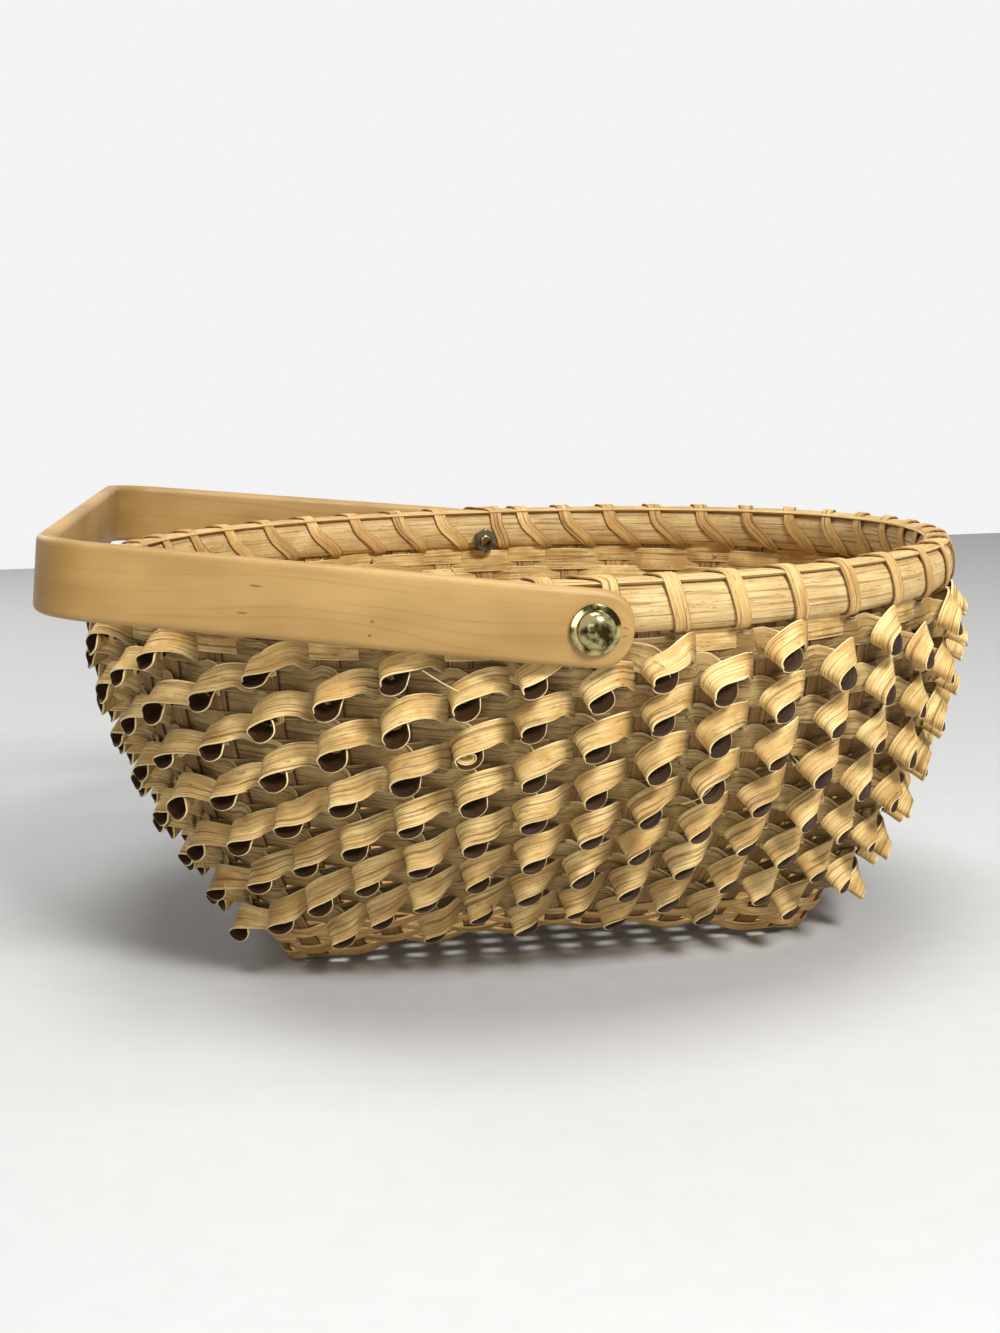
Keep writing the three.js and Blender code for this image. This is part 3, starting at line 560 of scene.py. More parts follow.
def plated(name, bright, dull, roughness):
    g = Graph(name)
    wear = g.noise(g.place(), scale=WEAR_SPOTS, detail=3)
    fine = g.noise(g.place(), scale=FINE_SPOTS, detail=2)
    g.tree.links.new(g.mix(g.spread(wear, 0.44, 0.6), bright, dull), g.shader.inputs["Base Color"])
    g.shader.inputs["Metallic"].default_value = 1.0
    rough = g.spread(wear, 0.3, 0.75, roughness, roughness + DULL_IS_ROUGHER)
    g.tree.links.new(rough, g.shader.inputs["Roughness"])
    g.bump(fine, 0.12, 0.02)
    return g.material


def floor_material():
    g = Graph("floor")
    grain = g.noise(g.place(), scale=90, detail=3)
    tint = g.mix(g.spread(grain, 0.3, 0.7), colour(191, 191, 190), colour(193, 193, 192))
    g.tree.links.new(tint, g.shader.inputs["Base Color"])
    g.shader.inputs["Roughness"].default_value = 0.7
    g.shader.inputs["Specular IOR Level"].default_value = 0.2
    return g.material


# The hoops show no cut edge, so theirs lies further out than their surface reaches.
NO_CUT_EDGE = 40

MATERIALS = {
    "weaver": splint_wood("curled_weaver_wood", colour(236, 207, 143), colour(192, 154, 92),
                          colour(98, 64, 30), colour(244, 223, 166), STRIP_WIDTH / 2, lines=0.65),
    # The stakes' dark edge colour is painted shade in the gaps beside them.
    "splint": splint_wood("stake_wood", colour(208, 168, 104), colour(172, 130, 72),
                          colour(96, 62, 30), colour(112, 74, 38), SPLINT_WIDTH / 2),
    "foot_weaver": splint_wood("foot_weaver_wood", colour(238, 204, 138), colour(198, 156, 92),
                               colour(92, 58, 26), colour(222, 190, 128), FOOT_WEAVER_WIDTH / 2),
    # The lashing's dark edge colour is painted side shading.
    "lashing": splint_wood("lashing_wood", colour(218, 184, 124), colour(190, 152, 92),
                           colour(98, 62, 28), colour(140, 100, 54), LASHING_WIDTH / 2, lines=0.7),
    "hoop": splint_wood("hoop_wood", colour(215, 189, 136), colour(192, 160, 105),
                        colour(96, 64, 32), colour(215, 189, 136), NO_CUT_EDGE, lines=0.55),
    "handle": planed_wood("handle_wood", colour(174, 138, 78), colour(152, 117, 60), colour(108, 70, 32)),
    "plated_steel": plated("plated_steel", colour(178, 166, 116), colour(50, 44, 24), 0.07),
    "nut": plated("dark_nut", colour(112, 106, 90), colour(72, 66, 54), 0.34),
}
MATERIALS["filler"] = MATERIALS["hoop"]


# Painted shade on the stakes' outer faces, where they lie between the curls.
STAKE_PAINTED_SHADE = 0.5
STAKE_THICKNESS = SPLINT_THICKNESS * 0.9
STAKE_SHARES = [0.02, 0.07, 0.14, 0.24, 0.36, 0.5, 0.64, 0.78, 0.9, 1.0]
BASE_BEND_INSET = 2.2


# Stakes: splints woven through the base and bent up into the wall on both sides.
def stake_wall_keys(stake, tone, sign):
    keys = []
    for share in STAKE_SHARES:
        place = Place(stake, share)
        keys.append((place.point, place.left * sign, SPLINT_WIDTH, tone, (STAKE_PAINTED_SHADE, 0)))
    top = Place(stake, 1.0)
    end = top.point.copy()
    end.z = RIM_HEIGHT - STAKE_TOP_BELOW_RIM
    keys.append((end, top.left * sign, SPLINT_WIDTH, tone, (STAKE_PAINTED_SHADE, 0)))
    return keys


def woven_splint(name, node, stake_a, stake_b, crossings, first_over):
    tone = RANDOM.random()
    start = stake_wall_keys(stake_a, tone, 1)
    start.reverse()
    end = stake_wall_keys(stake_b, tone, -1)
    a = base_corner(stake_a)
    b = base_corner(stake_b)
    direction = (b - a).normalized()
    across = direction.cross(UP) * -1
    middle = []
    places = [a + direction * BASE_BEND_INSET] + crossings + [b - direction * BASE_BEND_INSET]
    for k, point in enumerate(places):
        over = 0
        if 0 < k < len(places) - 1:
            over = BASE_WEAVE if (k + first_over) % 2 == 0 else -BASE_WEAVE
        spot = point.copy()
        spot.z = base_height(point.x, point.y) + SPLINT_THICKNESS / 2 + over
        middle.append((spot, across, SPLINT_WIDTH, tone, (STAKE_PAINTED_SHADE, 0)))
    add_strip(name, start + middle + end, False, STAKE_THICKNESS, "splint", [node])


def build_splints():
    xs = [base_corner(k).x for k in range(SHORT_SPLINTS)]
    ys = [base_corner(SHORT_SPLINTS + k).y for k in range(LONG_SPLINTS)]
    for k in range(SHORT_SPLINTS):
        far = 2 * SHORT_SPLINTS + LONG_SPLINTS - 1 - k
        crossings = [Vector((xs[k], y, 0)) for y in ys]
        woven_splint(f"woven_short_splint_{k + 1}", f"short_splint_{k + 1}", k, far, crossings, k % 2)
    for k in range(LONG_SPLINTS):
        right = SHORT_SPLINTS + k
        left = STAKES - 1 - k
        crossings = [Vector((x, ys[k], 0)) for x in reversed(xs)]
        woven_splint(f"woven_long_splint_{k + 1}", f"long_splint_{k + 1}", right, left, crossings,
                     (k + 1) % 2)


# Curled weavers. Keys of one curl at full size: place left, out and up, then the direction across the strip.
CURL_KEYS = [
    ((-16.2, 0.3, 0.9), (0.0, -0.05, 1.0)),
    ((-13.8, 2.6, 2.2), (0.0, -0.16, 0.98)),
    ((-10.8, 5.6, 3.2), (0.0, -0.3, 0.95)),
    ((-7.2, 8.0, 2.9), (0.06, -0.46, 0.88)),
    ((-3.0, 9.4, 1.5), (0.16, -0.62, 0.77)),
    ((1.0, 9.6, -0.5), (0.24, -0.74, 0.62)),
    ((3.4, 9.5, -2.7), (0.26, -0.83, 0.49)),
    ((3.8, 9.2, -5.4), (0.28, -0.86, 0.43)),
    ((2.0, 8.8, -7.9), (0.3, -0.87, 0.4)),
    ((-0.8, 8.3, -8.4), (0.32, -0.86, 0.4)),
    ((-2.9, 7.4, -6.8), (0.34, -0.84, 0.43)),
    ((-3.3, 6.2, -4.4), (0.32, -0.74, 0.58)),
    ((-2.3, 4.5, -2.3), (0.24, -0.5, 0.83)),
    ((-0.2, 2.9, -1.0), (0.12, -0.26, 0.95)),
    ((2.4, 1.9, -0.4), (0.04, -0.12, 0.99)),
    ((5.0, 1.5, 0.0), (0.0, -0.06, 1.0)),
]
LOOP_CENTRE = Vector((0.2, 8.6, -4.5))
LOOP_REACH = 13
LEAST_SIZE = 0.84
LOOP_SIDE_BELOW = -2
RIGHT_SIDE_OUT = 1.2
CURL_TOP = 3.8
LOW_PART = 2
FLAT_WIDENING = 1.22
LOW_ROW_WIDENING = 0.9
RAISED = math.radians(15)

# Painted shade: how much faces that lie nearer the wall than the sunk depth are darkened, and those of the
# foot weavers and rim band
SUNK_DEPTH = 6.5
SUNK_PAINTED_SHADE = 0.55
FOOT_PAINTED_SHADE = 0.1

# Spread of the curls' widths and heights of loop, rolls, places and stands, and what changes down the wall
GIRTHS = (0.8, 1.1)
FLATNESSES = (0.78, 1.08)
FLATTER_BELOW = 0.1
ROLLS = (-12, 12)
SLIDES = (-0.8, 0.8)
STANDS = (0.9, 1.08)
MEAN_TONE = 0.7
TONE_SPREAD = 0.16
DARKER_BELOW = 0.3

# A loop lies to the right of its stake and a little high. At the left end of the near side it lies further
# right and less high, which changes from stake to stake.
RIGHT_AT_LEFT_END = 2.6
RIGHT_ELSEWHERE = 0.8
RIGHT_PER_STAKE = 0.25
LIFT_AT_LEFT_END = 0.5
LIFT_ELSEWHERE = 2.4
LIFT_PER_STAKE = 0.22


# How far the arm presses down a top-row curl that lies under it.
def pressed_by(point):
    underside = PIVOT_HEIGHT - HANDLE_WIDTH / 2 / math.cos(REST_TILT) + abs(point.x) * math.tan(REST_TILT)
    return max(0, point.z + CURL_TOP - underside)


# A distance out and a height, turned upward by the tip angle.
def tipped(n, z, tip):
    return n * math.cos(tip) - z * math.sin(tip), n * math.sin(tip) + z * math.cos(tip)


class Curl:
    """One curl at a stake, with its own size, roll, slide, stand and tone."""

    def __init__(self, stake, row):
        self.place = Place(stake, row_share(row))
        self.depth = (row - 1) / (CURL_ROWS - 1)
        self.size = min(1, max(LEAST_SIZE, self.place.pitch / FULL_PITCH))
        self.girth = RANDOM.uniform(*GIRTHS)
        self.flat = RANDOM.uniform(*FLATNESSES) - FLATTER_BELOW * self.depth
        self.roll = math.radians(RANDOM.uniform(*ROLLS))
        self.slide = RANDOM.uniform(*SLIDES)
        self.slide -= max(RIGHT_ELSEWHERE, RIGHT_AT_LEFT_END - RIGHT_PER_STAKE * stake)
        self.lift = min(LIFT_ELSEWHERE, LIFT_AT_LEFT_END + LIFT_PER_STAKE * stake)
        self.stand = RANDOM.uniform(*STANDS)
        self.tone = min(1, max(0, RANDOM.gauss(MEAN_TONE - DARKER_BELOW * self.depth, TONE_SPREAD)))
        self.raised = RAISED * self.depth
        self.pressed = pressed_by(self.place.point)

    def spot(self, s, n, z, near=1.0):
        offset = Vector((s, n, z)) - LOOP_CENTRE
        x = offset.x * math.cos(self.roll) - offset.z * math.sin(self.roll)
        y = (offset.x * math.sin(self.roll) + offset.z * math.cos(self.roll)) * self.flat
        loose = LOOP_CENTRE + Vector((x * self.girth + self.slide, offset.y, y * self.girth))
        point = Vector((s, n, z)).lerp(loose, near)
        out, above = tipped(point.y * (1 + (self.stand - 1) * near), point.z, self.raised * near)
        above = above * self.size + (self.lift - self.pressed) * near
        return self.place.at(point.x * self.size, out * (1 + self.size) / 2, above)

    def across(self, s, n, z, near=1.0):
        return self.place.turn(s, *tipped(n, z, self.raised * near))

    def keys(self, width):
        found = []
        for spot, across in CURL_KEYS:
            if spot[0] < 0 and spot[2] < LOOP_SIDE_BELOW:
                spot = (spot[0], spot[1] + RIGHT_SIDE_OUT * (1 - self.depth), spot[2])
            # Painted shade: outer faces darken the nearer they lie to the wall, and inner faces darken
            # inside the loop.
            near = max(0, 1 - ((spot[0] - LOOP_CENTRE.x) / LOOP_REACH) ** 2)
            sunk_painted_shade = max(0, 1 - spot[1] / SUNK_DEPTH) * SUNK_PAINTED_SHADE
            wide = width * FLAT_WIDENING if spot[1] < LOW_PART else width
            found.append((self.spot(*spot, near), self.across(*across, near), wide, self.tone, (sunk_painted_shade, near)))
        return found


# A flat key darkens its outer face with painted shade, by default the full sunk amount.
def flat_key(stake, share, n, tone, width, lift=0, sunk_painted_shade=SUNK_PAINTED_SHADE):
    place = Place(stake, share)
    return (place.at(0, n, lift), place.rise.copy(), width, tone, (sunk_painted_shade, 0))


# Keys of a flat ring that passes in front of every second stake and behind the stakes between.
def woven_ring_keys(share, first, front, behind, reach, *rest):
    keys = []
    for stake in range(STAKES - 1, -1, -1):
        n = front if (stake + first) % 2 == 0 else behind
        for side in (reach, -reach):
            keys.append(flat_key(stake + side, share, n, *rest))
    return keys


# The lower rows lie further apart on the slope and are of slightly wider strip.
def strip_width(row):
    return STRIP_WIDTH + LOW_ROW_WIDENING * (row - 1) / (CURL_ROWS - 1)


# Where a row lies flat: how far out after a curl, and how many stake half widths before and after a stake
AFTER_CURL_OUT = 0.9
AFTER_CURL = 1.6
BEFORE_STAKE = 0.8
AFTER_STAKE = 0.9
CURLS = {}


def build_curl_rows():
    for row in range(1, CURL_ROWS + 1):
        share = row_share(row)
        width = strip_width(row)
        keys = []
        for stake in range(STAKES - 1, -1, -1):
            reach = SPLINT_WIDTH / 2 / Place(stake, share).pitch
            if (stake + row) % 2 == 0:
                curl = Curl(stake, row)
                CURLS[row, stake] = curl
                keys += curl.keys(width)
                keys.append(flat_key(stake - reach * AFTER_CURL, share, AFTER_CURL_OUT, curl.tone, width))
            else:
                tone = keys[-1][3] if keys else 0.5
                for side in (BEFORE_STAKE, -AFTER_STAKE):
                    keys.append(flat_key(stake + reach * side, share, BEHIND, tone, width * FLAT_WIDENING))
        add_strip(f"woven_curl_row_{row}", keys, True, STRIP_THICKNESS, "weaver", [f"curl_weaver_{row}"])


# Under each row of curls a plain strip passes round the same stakes and closes the wall behind the curls.
PLAIN_THICKNESS = 0.5
PLAIN_IN_FRONT = 0.75
PLAIN_BEHIND = -1.75
FLAT_REACH = 0.22

# Tones of the plain strips: rows next to each other take tones far apart.
DARKEST_PLAIN_TONE = 0.35
PLAIN_TONE_RANGE = 0.3
TONE_JUMP = 7


def build_plain_weavers():
    for row in range(1, CURL_ROWS + 1):
        tone = DARKEST_PLAIN_TONE + PLAIN_TONE_RANGE * (row * TONE_JUMP % CURL_ROWS) / CURL_ROWS
        keys = woven_ring_keys(row_share(row), row, PLAIN_IN_FRONT, PLAIN_BEHIND, FLAT_REACH, tone,
                               strip_width(row) * FLAT_WIDENING)
        add_strip(f"plain_weaver_row_{row}", keys, True, PLAIN_THICKNESS, "weaver", [])


# One curl is rolled twice: a spiral of the same strip fills its loop.
DOUBLE_ROLLED = (4, 4)
INNER_STEPS = 22
INNER_RADIUS = 2.7
INNER_SHRINK = 1.7
INNER_FLATTENING = 1.15
INNER_SET_BACK = 0.15
INNER_STEP_BACK = 0.03
INNER_ACROSS = (0.3, -0.87, 0.4)
INNER_WIDTH = STRIP_WIDTH - 0.5


def build_inner_roll():
    curl = CURLS[DOUBLE_ROLLED]
    keys = []
    for k in range(INNER_STEPS + 1):
        turn = 4 * math.pi * k / INNER_STEPS
        radius = INNER_RADIUS - INNER_SHRINK * k / INNER_STEPS
        spot = LOOP_CENTRE + Vector((radius * math.cos(turn) * INNER_FLATTENING,
                                     -INNER_SET_BACK - INNER_STEP_BACK * k, radius * math.sin(-turn)))
        keys.append((curl.spot(*spot), curl.across(*INNER_ACROSS), INNER_WIDTH, curl.tone))
    add_strip("inner_roll_of_curl", keys, False, PLAIN_THICKNESS, "weaver", [])


# A plain strip passes round the stakes right under the hoops and is half hidden by them.
RIM_BAND_SHARE = 0.978
RIM_BAND_WIDTH = 9.4
RIM_BAND_TONE = 0.55
RIM_BAND_REACH = 0.25
RIM_BAND_SLACK = 0.1


def build_rim_band():
    keys = woven_ring_keys(RIM_BAND_SHARE, 0, IN_FRONT - RIM_BAND_SLACK, BEHIND + RIM_BAND_SLACK,
                           RIM_BAND_REACH, RIM_BAND_TONE, RIM_BAND_WIDTH, 0, FOOT_PAINTED_SHADE)
    add_strip("plain_band_under_rim", keys, True, PLAIN_THICKNESS, "weaver", [])


FOOT_WEAVER_TONES = (0.3, 0.7)
FOOT_WEAVER_LIFT = 0.6


def build_foot_weavers():
    for row in range(1, FOOT_WEAVERS + 1):
        share = share_at_slope(FIRST_FOOT_WEAVER_AT + (row - 1) * FOOT_WEAVER_PITCH)
        tone = RANDOM.uniform(*FOOT_WEAVER_TONES)
        keys = woven_ring_keys(share, row, IN_FRONT, BEHIND, FLAT_REACH, tone, FOOT_WEAVER_WIDTH,
                               FOOT_WEAVER_LIFT, FOOT_PAINTED_SHADE)
        add_strip(f"woven_foot_weaver_{row}", keys, True, STRIP_THICKNESS, "foot_weaver",
                  [f"foot_weaver_{row}"])


# Rim
class RimPlace:
    """A spot on the rim with its directions: ahead, counted with the stakes, and out."""

    def __init__(self, stake):
        angle = rim_angle(stake)
        step = math.pi / ARC_SAMPLES
        self.point = rim_plan(angle, STAKE_INSET)
        ahead = rim_plan(angle + step, STAKE_INSET) - rim_plan(angle - step, STAKE_INSET)
        self.ahead = ahead.normalized()
        self.out = Vector((self.ahead.y, -self.ahead.x, 0))

    def at(self, n, z):
        return self.point + self.out * n + UP * z


# A hoop's section, flat on one side and rounded on the other, as shares of its thickness and height.
HOOP_SECTION = [(0, 0.03), (0.34, 0.015), (0.62, 0.07), (0.85, 0.18), (0.97, 0.33), (1, 0.5), (0.97, 0.67),
                (0.85, 0.82), (0.62, 0.93), (0.34, 0.985), (0, 0.97)]
HOOP_STEPS = 4
HOOP_TONE = 0.75
FILLER_POINTS = 10
FILLER_HALF_WIDTH = 4.7
FILLER_HALF_HEIGHT = 1.3
FILLER_SINK = 0.4
FILLER_TONE = 0.6


# A closed band round the rim from a section of distances out and heights.
def add_rim_ring(name, node, section, widths, tone, slot):
    rings = []
    lengths = [0.0]
    for i in range(STAKES * HOOP_STEPS):
        place = RimPlace(i / HOOP_STEPS)
        rings.append([place.at(n, z) for n, z in section])
        lengths.append(lengths[-1] + (RimPlace((i + 1) / HOOP_STEPS).point - place.point).length)
    add_rings(name, rings, True, lengths, widths, [tone] * len(rings), slot, [node])


def build_hoop(name, node, back, thickness, side):
    section = [(back + side * thickness * a, HOOP_BOTTOM + HOOP_HEIGHT * b) for a, b in HOOP_SECTION]
    widths = [0.0]
    for k in range(1, len(section)):
        widths.append(widths[-1] + math.dist(section[k - 1], section[k]))
    add_rim_ring(name, node, section, widths, HOOP_TONE, "hoop")


def build_filler():
    section = []
    widths = []
    for k in range(FILLER_POINTS):
        angle = 2 * math.pi * k / FILLER_POINTS
        height = HOOP_TOP - FILLER_SINK + FILLER_HALF_HEIGHT * (1 + math.sin(angle))
        section.append((FILLER_HALF_WIDTH * math.cos(angle), height))
        widths.append(FILLER_HALF_WIDTH * angle)
    add_rim_ring("rim_core", "rim_filler", section, widths, FILLER_TONE, "filler")


LASHING_OFF_HOOP = 0.55
LASHING_BELOW_HOOP = 0.4
LASHING_THICKNESS = 0.8
LASHING_TONES = (0.3, 0.9)

# Where a turn comes down inside, as a share of the way to the next gap: at a bolt it goes round the nut.
LANDS_AT = 0.92
LANDS_PAST_BOLT = 1.26


# One turn of the lashing: share of the way to the next gap, distance out and height.
def lashing_turn(at_bolt):
    outer = HOOP_BACK + OUTER_HOOP + LASHING_OFF_HOOP
    inner = -(HOOP_BACK + INNER_HOOP + LASHING_OFF_HOOP)
    top = HOOP_TOP + FILLER_HEIGHT + LASHING_OFF_HOOP
    bottom = HOOP_BOTTOM - LASHING_BELOW_HOOP
    inner_top = LANDS_PAST_BOLT if at_bolt else LANDS_AT
    return [
        (0.5, 0.2, bottom - 0.1),
        (0.51, outer * 0.55, bottom + 0.3),
        (0.53, outer - 0.9, bottom + 2.2),
        (0.56, outer, bottom + 5.5),
        (0.62, outer, HOOP_TOP - 5.5),
        (0.66, outer - 0.8, HOOP_TOP - 1.6),
        (0.70, outer * 0.5, top - 0.7),
        (0.5 * (0.7 + inner_top), 0, top),
        (inner_top - 0.02, inner * 0.55, top - 0.8),
        (inner_top + 0.03, inner + 0.6, HOOP_TOP - 1.8),
        (inner_top * 0.8 + 0.3, inner, HOOP_TOP - 5.5),
        (inner_top * 0.3 + 1.05, inner, bottom + 5),
        (1.46, inner + 0.7, bottom + 2),
        (1.49, inner * 0.5, bottom + 0.2),
    ]


def build_lashing():
    keys = []
    for turn in range(STAKES):
        at_bolt = (-turn - 1 - NEAR_MIDDLE) % (STAKES / 2) == 0
        tone = RANDOM.uniform(*LASHING_TONES)
        for share, n, z in lashing_turn(at_bolt):
            place = RimPlace(-turn - share)
            keys.append((place.at(n, z), place.ahead, LASHING_WIDTH, tone))
    add_strip("rim_wrapping", keys, True, LASHING_THICKNESS, "lashing", ["rim_lashing"])


# Handle
END_STEPS = 14
END_START = 0.12
END_SQUARENESS = 0.8
BEND_STEPS = 16
ARM_STEPS = 14
BAR_STEPS = 20
EDGE_STEPS = 4
ARM_LEAN_LENGTH = 9
PAST_BOLT = 4


# Half of the handle's middle line from the arm's end to the middle of the bar, with the band's height there.
def handle_half():
    arm_y = ARM_INNER_FACE + HANDLE_THICKNESS / 2
    corner = Vector((-(HANDLE_REACH - HANDLE_THICKNESS / 2), HANDLE_BAR_HALF_WIDTH, 0))
    arm_start = Vector((-ARM_STRAIGHT_REACH, arm_y, 0))
    inward = (corner - arm_start).normalized()
    turn = math.pi / 2 + math.atan2(-inward.y, -inward.x)
    trim = HANDLE_BEND_RADIUS * math.tan((math.pi - turn) / 2)
    bend_start = corner + inward * -trim
    normal = Vector((inward.y, -inward.x, 0))
    if normal.y < 0:
        normal.negate()
    centre = bend_start - normal * HANDLE_BEND_RADIUS
    radius = HANDLE_WIDTH / 2
    half = []
    for k in range(END_STEPS):
        angle = math.pi / 2 * (1 - (k + END_START) / END_STEPS)
        reach = radius * math.sin(angle) ** END_SQUARENESS
        half.append((Vector((reach, arm_y, 0)), HANDLE_WIDTH * math.cos(angle) ** END_SQUARENESS))
    half.append((Vector((0, arm_y, 0)), HANDLE_WIDTH))
    straight = Vector((-ARM_STRAIGHT_REACH + ARM_LEAN_LENGTH, arm_y, 0))
    leaning = arm_start + inward * ARM_LEAN_LENGTH
    half += [(Vector((-PAST_BOLT, arm_y, 0)), HANDLE_WIDTH), (straight, HANDLE_WIDTH)]
    for t in (0.25, 0.5, 0.75):
        point = straight * (1 - t) ** 2 + arm_start * (2 * t * (1 - t)) + leaning * t * t
        half.append((point, HANDLE_WIDTH))
    for k in range(ARM_STEPS):
        half.append((leaning.lerp(bend_start, k / ARM_STEPS), HANDLE_WIDTH))
    start_angle = math.atan2(normal.y, normal.x)
    for k in range(BEND_STEPS + 1):
        angle = start_angle + (math.pi - start_angle) * k / BEND_STEPS
        point = centre + Vector((math.cos(angle), math.sin(angle), 0)) * HANDLE_BEND_RADIUS
        half.append((point, HANDLE_WIDTH))
    bar_x = half[-1][0].x
    bar_y = half[-1][0].y
    for k in range(1, BAR_STEPS // 2):
        half.append((Vector((bar_x, bar_y * (1 - 2 * k / BAR_STEPS), 0)), HANDLE_WIDTH))
    return half


# Points of a band's section, as distance out and up, rounded at its four edges.
def band_section(height):
    t = HANDLE_THICKNESS / 2
    h = height / 2
    r = min(HANDLE_EDGE_ROUNDING, h * 0.9)
    corners = [(1, 1, 0), (-1, 1, 90), (-1, -1, 180), (1, -1, 270)]
    points = []
    for side, above, start in corners:
        for k in range(EDGE_STEPS + 1):
            angle = math.radians(start + 90 * k / EDGE_STEPS)
            points.append((side * (t - r) + r * math.cos(angle), above * (h - r) + r * math.sin(angle)))
    return points


def build_handle():
    half = handle_half()
    mirrored = [(Vector((p.x, -p.y, 0)), h) for p, h in reversed(half)]
    path = half + [(Vector((half[-1][0].x, 0, 0)), HANDLE_WIDTH)] + mirrored
    tilt = Matrix.Rotation(REST_TILT, 4, "Y")
    rings = []
    lengths = []
    walked = 0
    for i, (point, height) in enumerate(path):
        before = path[max(i - 1, 0)][0]
        after = path[min(i + 1, len(path) - 1)][0]
        along = (after - before).normalized()
        out = along.cross(UP)
        walked += (point - before).length
        lengths.append(walked)
        section = band_section(height)
        rings.append([tilt @ (point + out * n + UP * z) + UP * PIVOT_HEIGHT for n, z in section])
    middle = lengths[len(path) // 2]
    lengths = [length - middle for length in lengths]
    widths = [z for _, z in band_section(HANDLE_WIDTH)]
    band = add_rings("bent_handle", rings, False, lengths, widths, [0.5] * len(rings), "handle",
                     ["swing_handle"], body="handle", sharp=HANDLE_EDGE)
    bore(band)


# One long drill along the pivot line cuts the bore of both arms.
def bore(band):
    radius = HOLE_DIAMETER / 2 * METRES
    reach = ARM_INNER_FACE + HANDLE_THICKNESS * 2
    work = bmesh.new()
    placed = Matrix.Translation(UP * PIVOT_HEIGHT * METRES + SHIFT) @ Matrix.Rotation(math.pi / 2, 4, "X")
    bmesh.ops.create_cone(work, cap_ends=True, segments=BORE_SEGMENTS, radius1=radius, radius2=radius,
                          depth=2 * reach * METRES, matrix=placed)
    mesh = bpy.data.meshes.new("drill")
    work.to_mesh(mesh)
    work.free()
    drill = add_object("drill", mesh)
    cut = band.modifiers.new("bore", "BOOLEAN")
    cut.operation = "DIFFERENCE"
    cut.object = drill
    cut.solver = "EXACT"
    bpy.context.view_layer.update()
    graph = bpy.context.evaluated_depsgraph_get()
    bored = bpy.data.meshes.new_from_object(band.evaluated_get(graph), depsgraph=graph)
    band.modifiers.clear()
    band.data = bored
    bpy.data.objects.remove(drill)


# Bolts, washers and nuts are turned about the pivot line, along Y. Profiles are radii and places along it.
TURN_STEPS = 40
TURN_MAP_STEP = 0.1
ON_AXIS = 0.02
WASHER_EDGE = 0.35
HEAD_EDGE = 0.7
HEAD_STEPS = 10
BOLT_CHAMFER = 0.5
THREAD_START = 0.3
THREAD_PITCH = 0.8
THREAD_DEPTH = 0.32
THREADED_LENGTH = 9
NUT_CHAMFER = 0.7


# A profile that starts away from the axis is one of a piece with a hole and closes on itself.
def turned_piece(name, node, profile, side, start, slot, reach_of):
    rings = []
    for r, y in profile:
        ring = []
        for k in range(TURN_STEPS):
            angle = 2 * math.pi * k / TURN_STEPS
            reach = reach_of(r, angle) if reach_of else r
            height = PIVOT_HEIGHT + reach * math.sin(angle)
            ring.append(Vector((reach * math.cos(angle), side * (start + y), height)))
        rings.append(ring)
    closed = profile[0][0] > ON_AXIS
    lengths = [y for _, y in profile] + [profile[0][1]]
    widths = [TURN_MAP_STEP * k for k in range(TURN_STEPS)]
    add_rings(name, rings, closed, lengths, widths, [0.5] * len(rings), slot, [node], sharp=METAL_EDGE)


def washer_profile(outer, thickness):
    hole = HOLE_DIAMETER / 2
    soft = WASHER_EDGE
    slight = soft * 0.3
    return [(hole, 0), (outer - soft, 0), (outer - slight, slight), (outer, soft), (outer, thickness - soft),
            (outer - slight, thickness - slight), (outer - soft, thickness), (hole, thickness)]


def bolt_profile(shank):
    r = BOLT_DIAMETER / 2
    head = BOLT_HEAD_DIAMETER / 2
    profile = [(ON_AXIS, 0), (r - BOLT_CHAMFER, 0)]
    y = THREAD_START
    while y < THREADED_LENGTH:
        profile += [(r - THREAD_DEPTH, y), (r, y + THREAD_PITCH / 2)]
        y += THREAD_PITCH
    profile += [(r, y), (r, shank), (head - 0.3, shank), (head, shank + 0.25), (head, shank + HEAD_EDGE)]
    for k in range(1, HEAD_STEPS):
        angle = math.pi / 2 * k / HEAD_STEPS
        rise = (BOLT_HEAD_HEIGHT - HEAD_EDGE) * math.sin(angle)
        profile.append((head * math.cos(angle), shank + HEAD_EDGE + rise))
    profile.append((ON_AXIS, shank + BOLT_HEAD_HEIGHT))
    return profile


# Reach of the nut at an angle: six flats outside and a round hole within.
def nut_reach(r, angle):
    if r < BOLT_DIAMETER:
        return r
    turn = (angle + math.pi / 6) % (math.pi / 3) - math.pi / 6
    return min(r, NUT_ACROSS_FLATS / 2 / math.cos(turn))


def nut_profile():
    hole = HOLE_DIAMETER / 2
    flat = NUT_ACROSS_FLATS / 2
    corner = flat / math.cos(math.pi / 6)
    return [(hole, 0), (flat * 0.98, 0), (corner, NUT_CHAMFER), (corner, NUT_THICKNESS - NUT_CHAMFER),
            (flat * 0.98, NUT_THICKNESS), (hole, NUT_THICKNESS)]


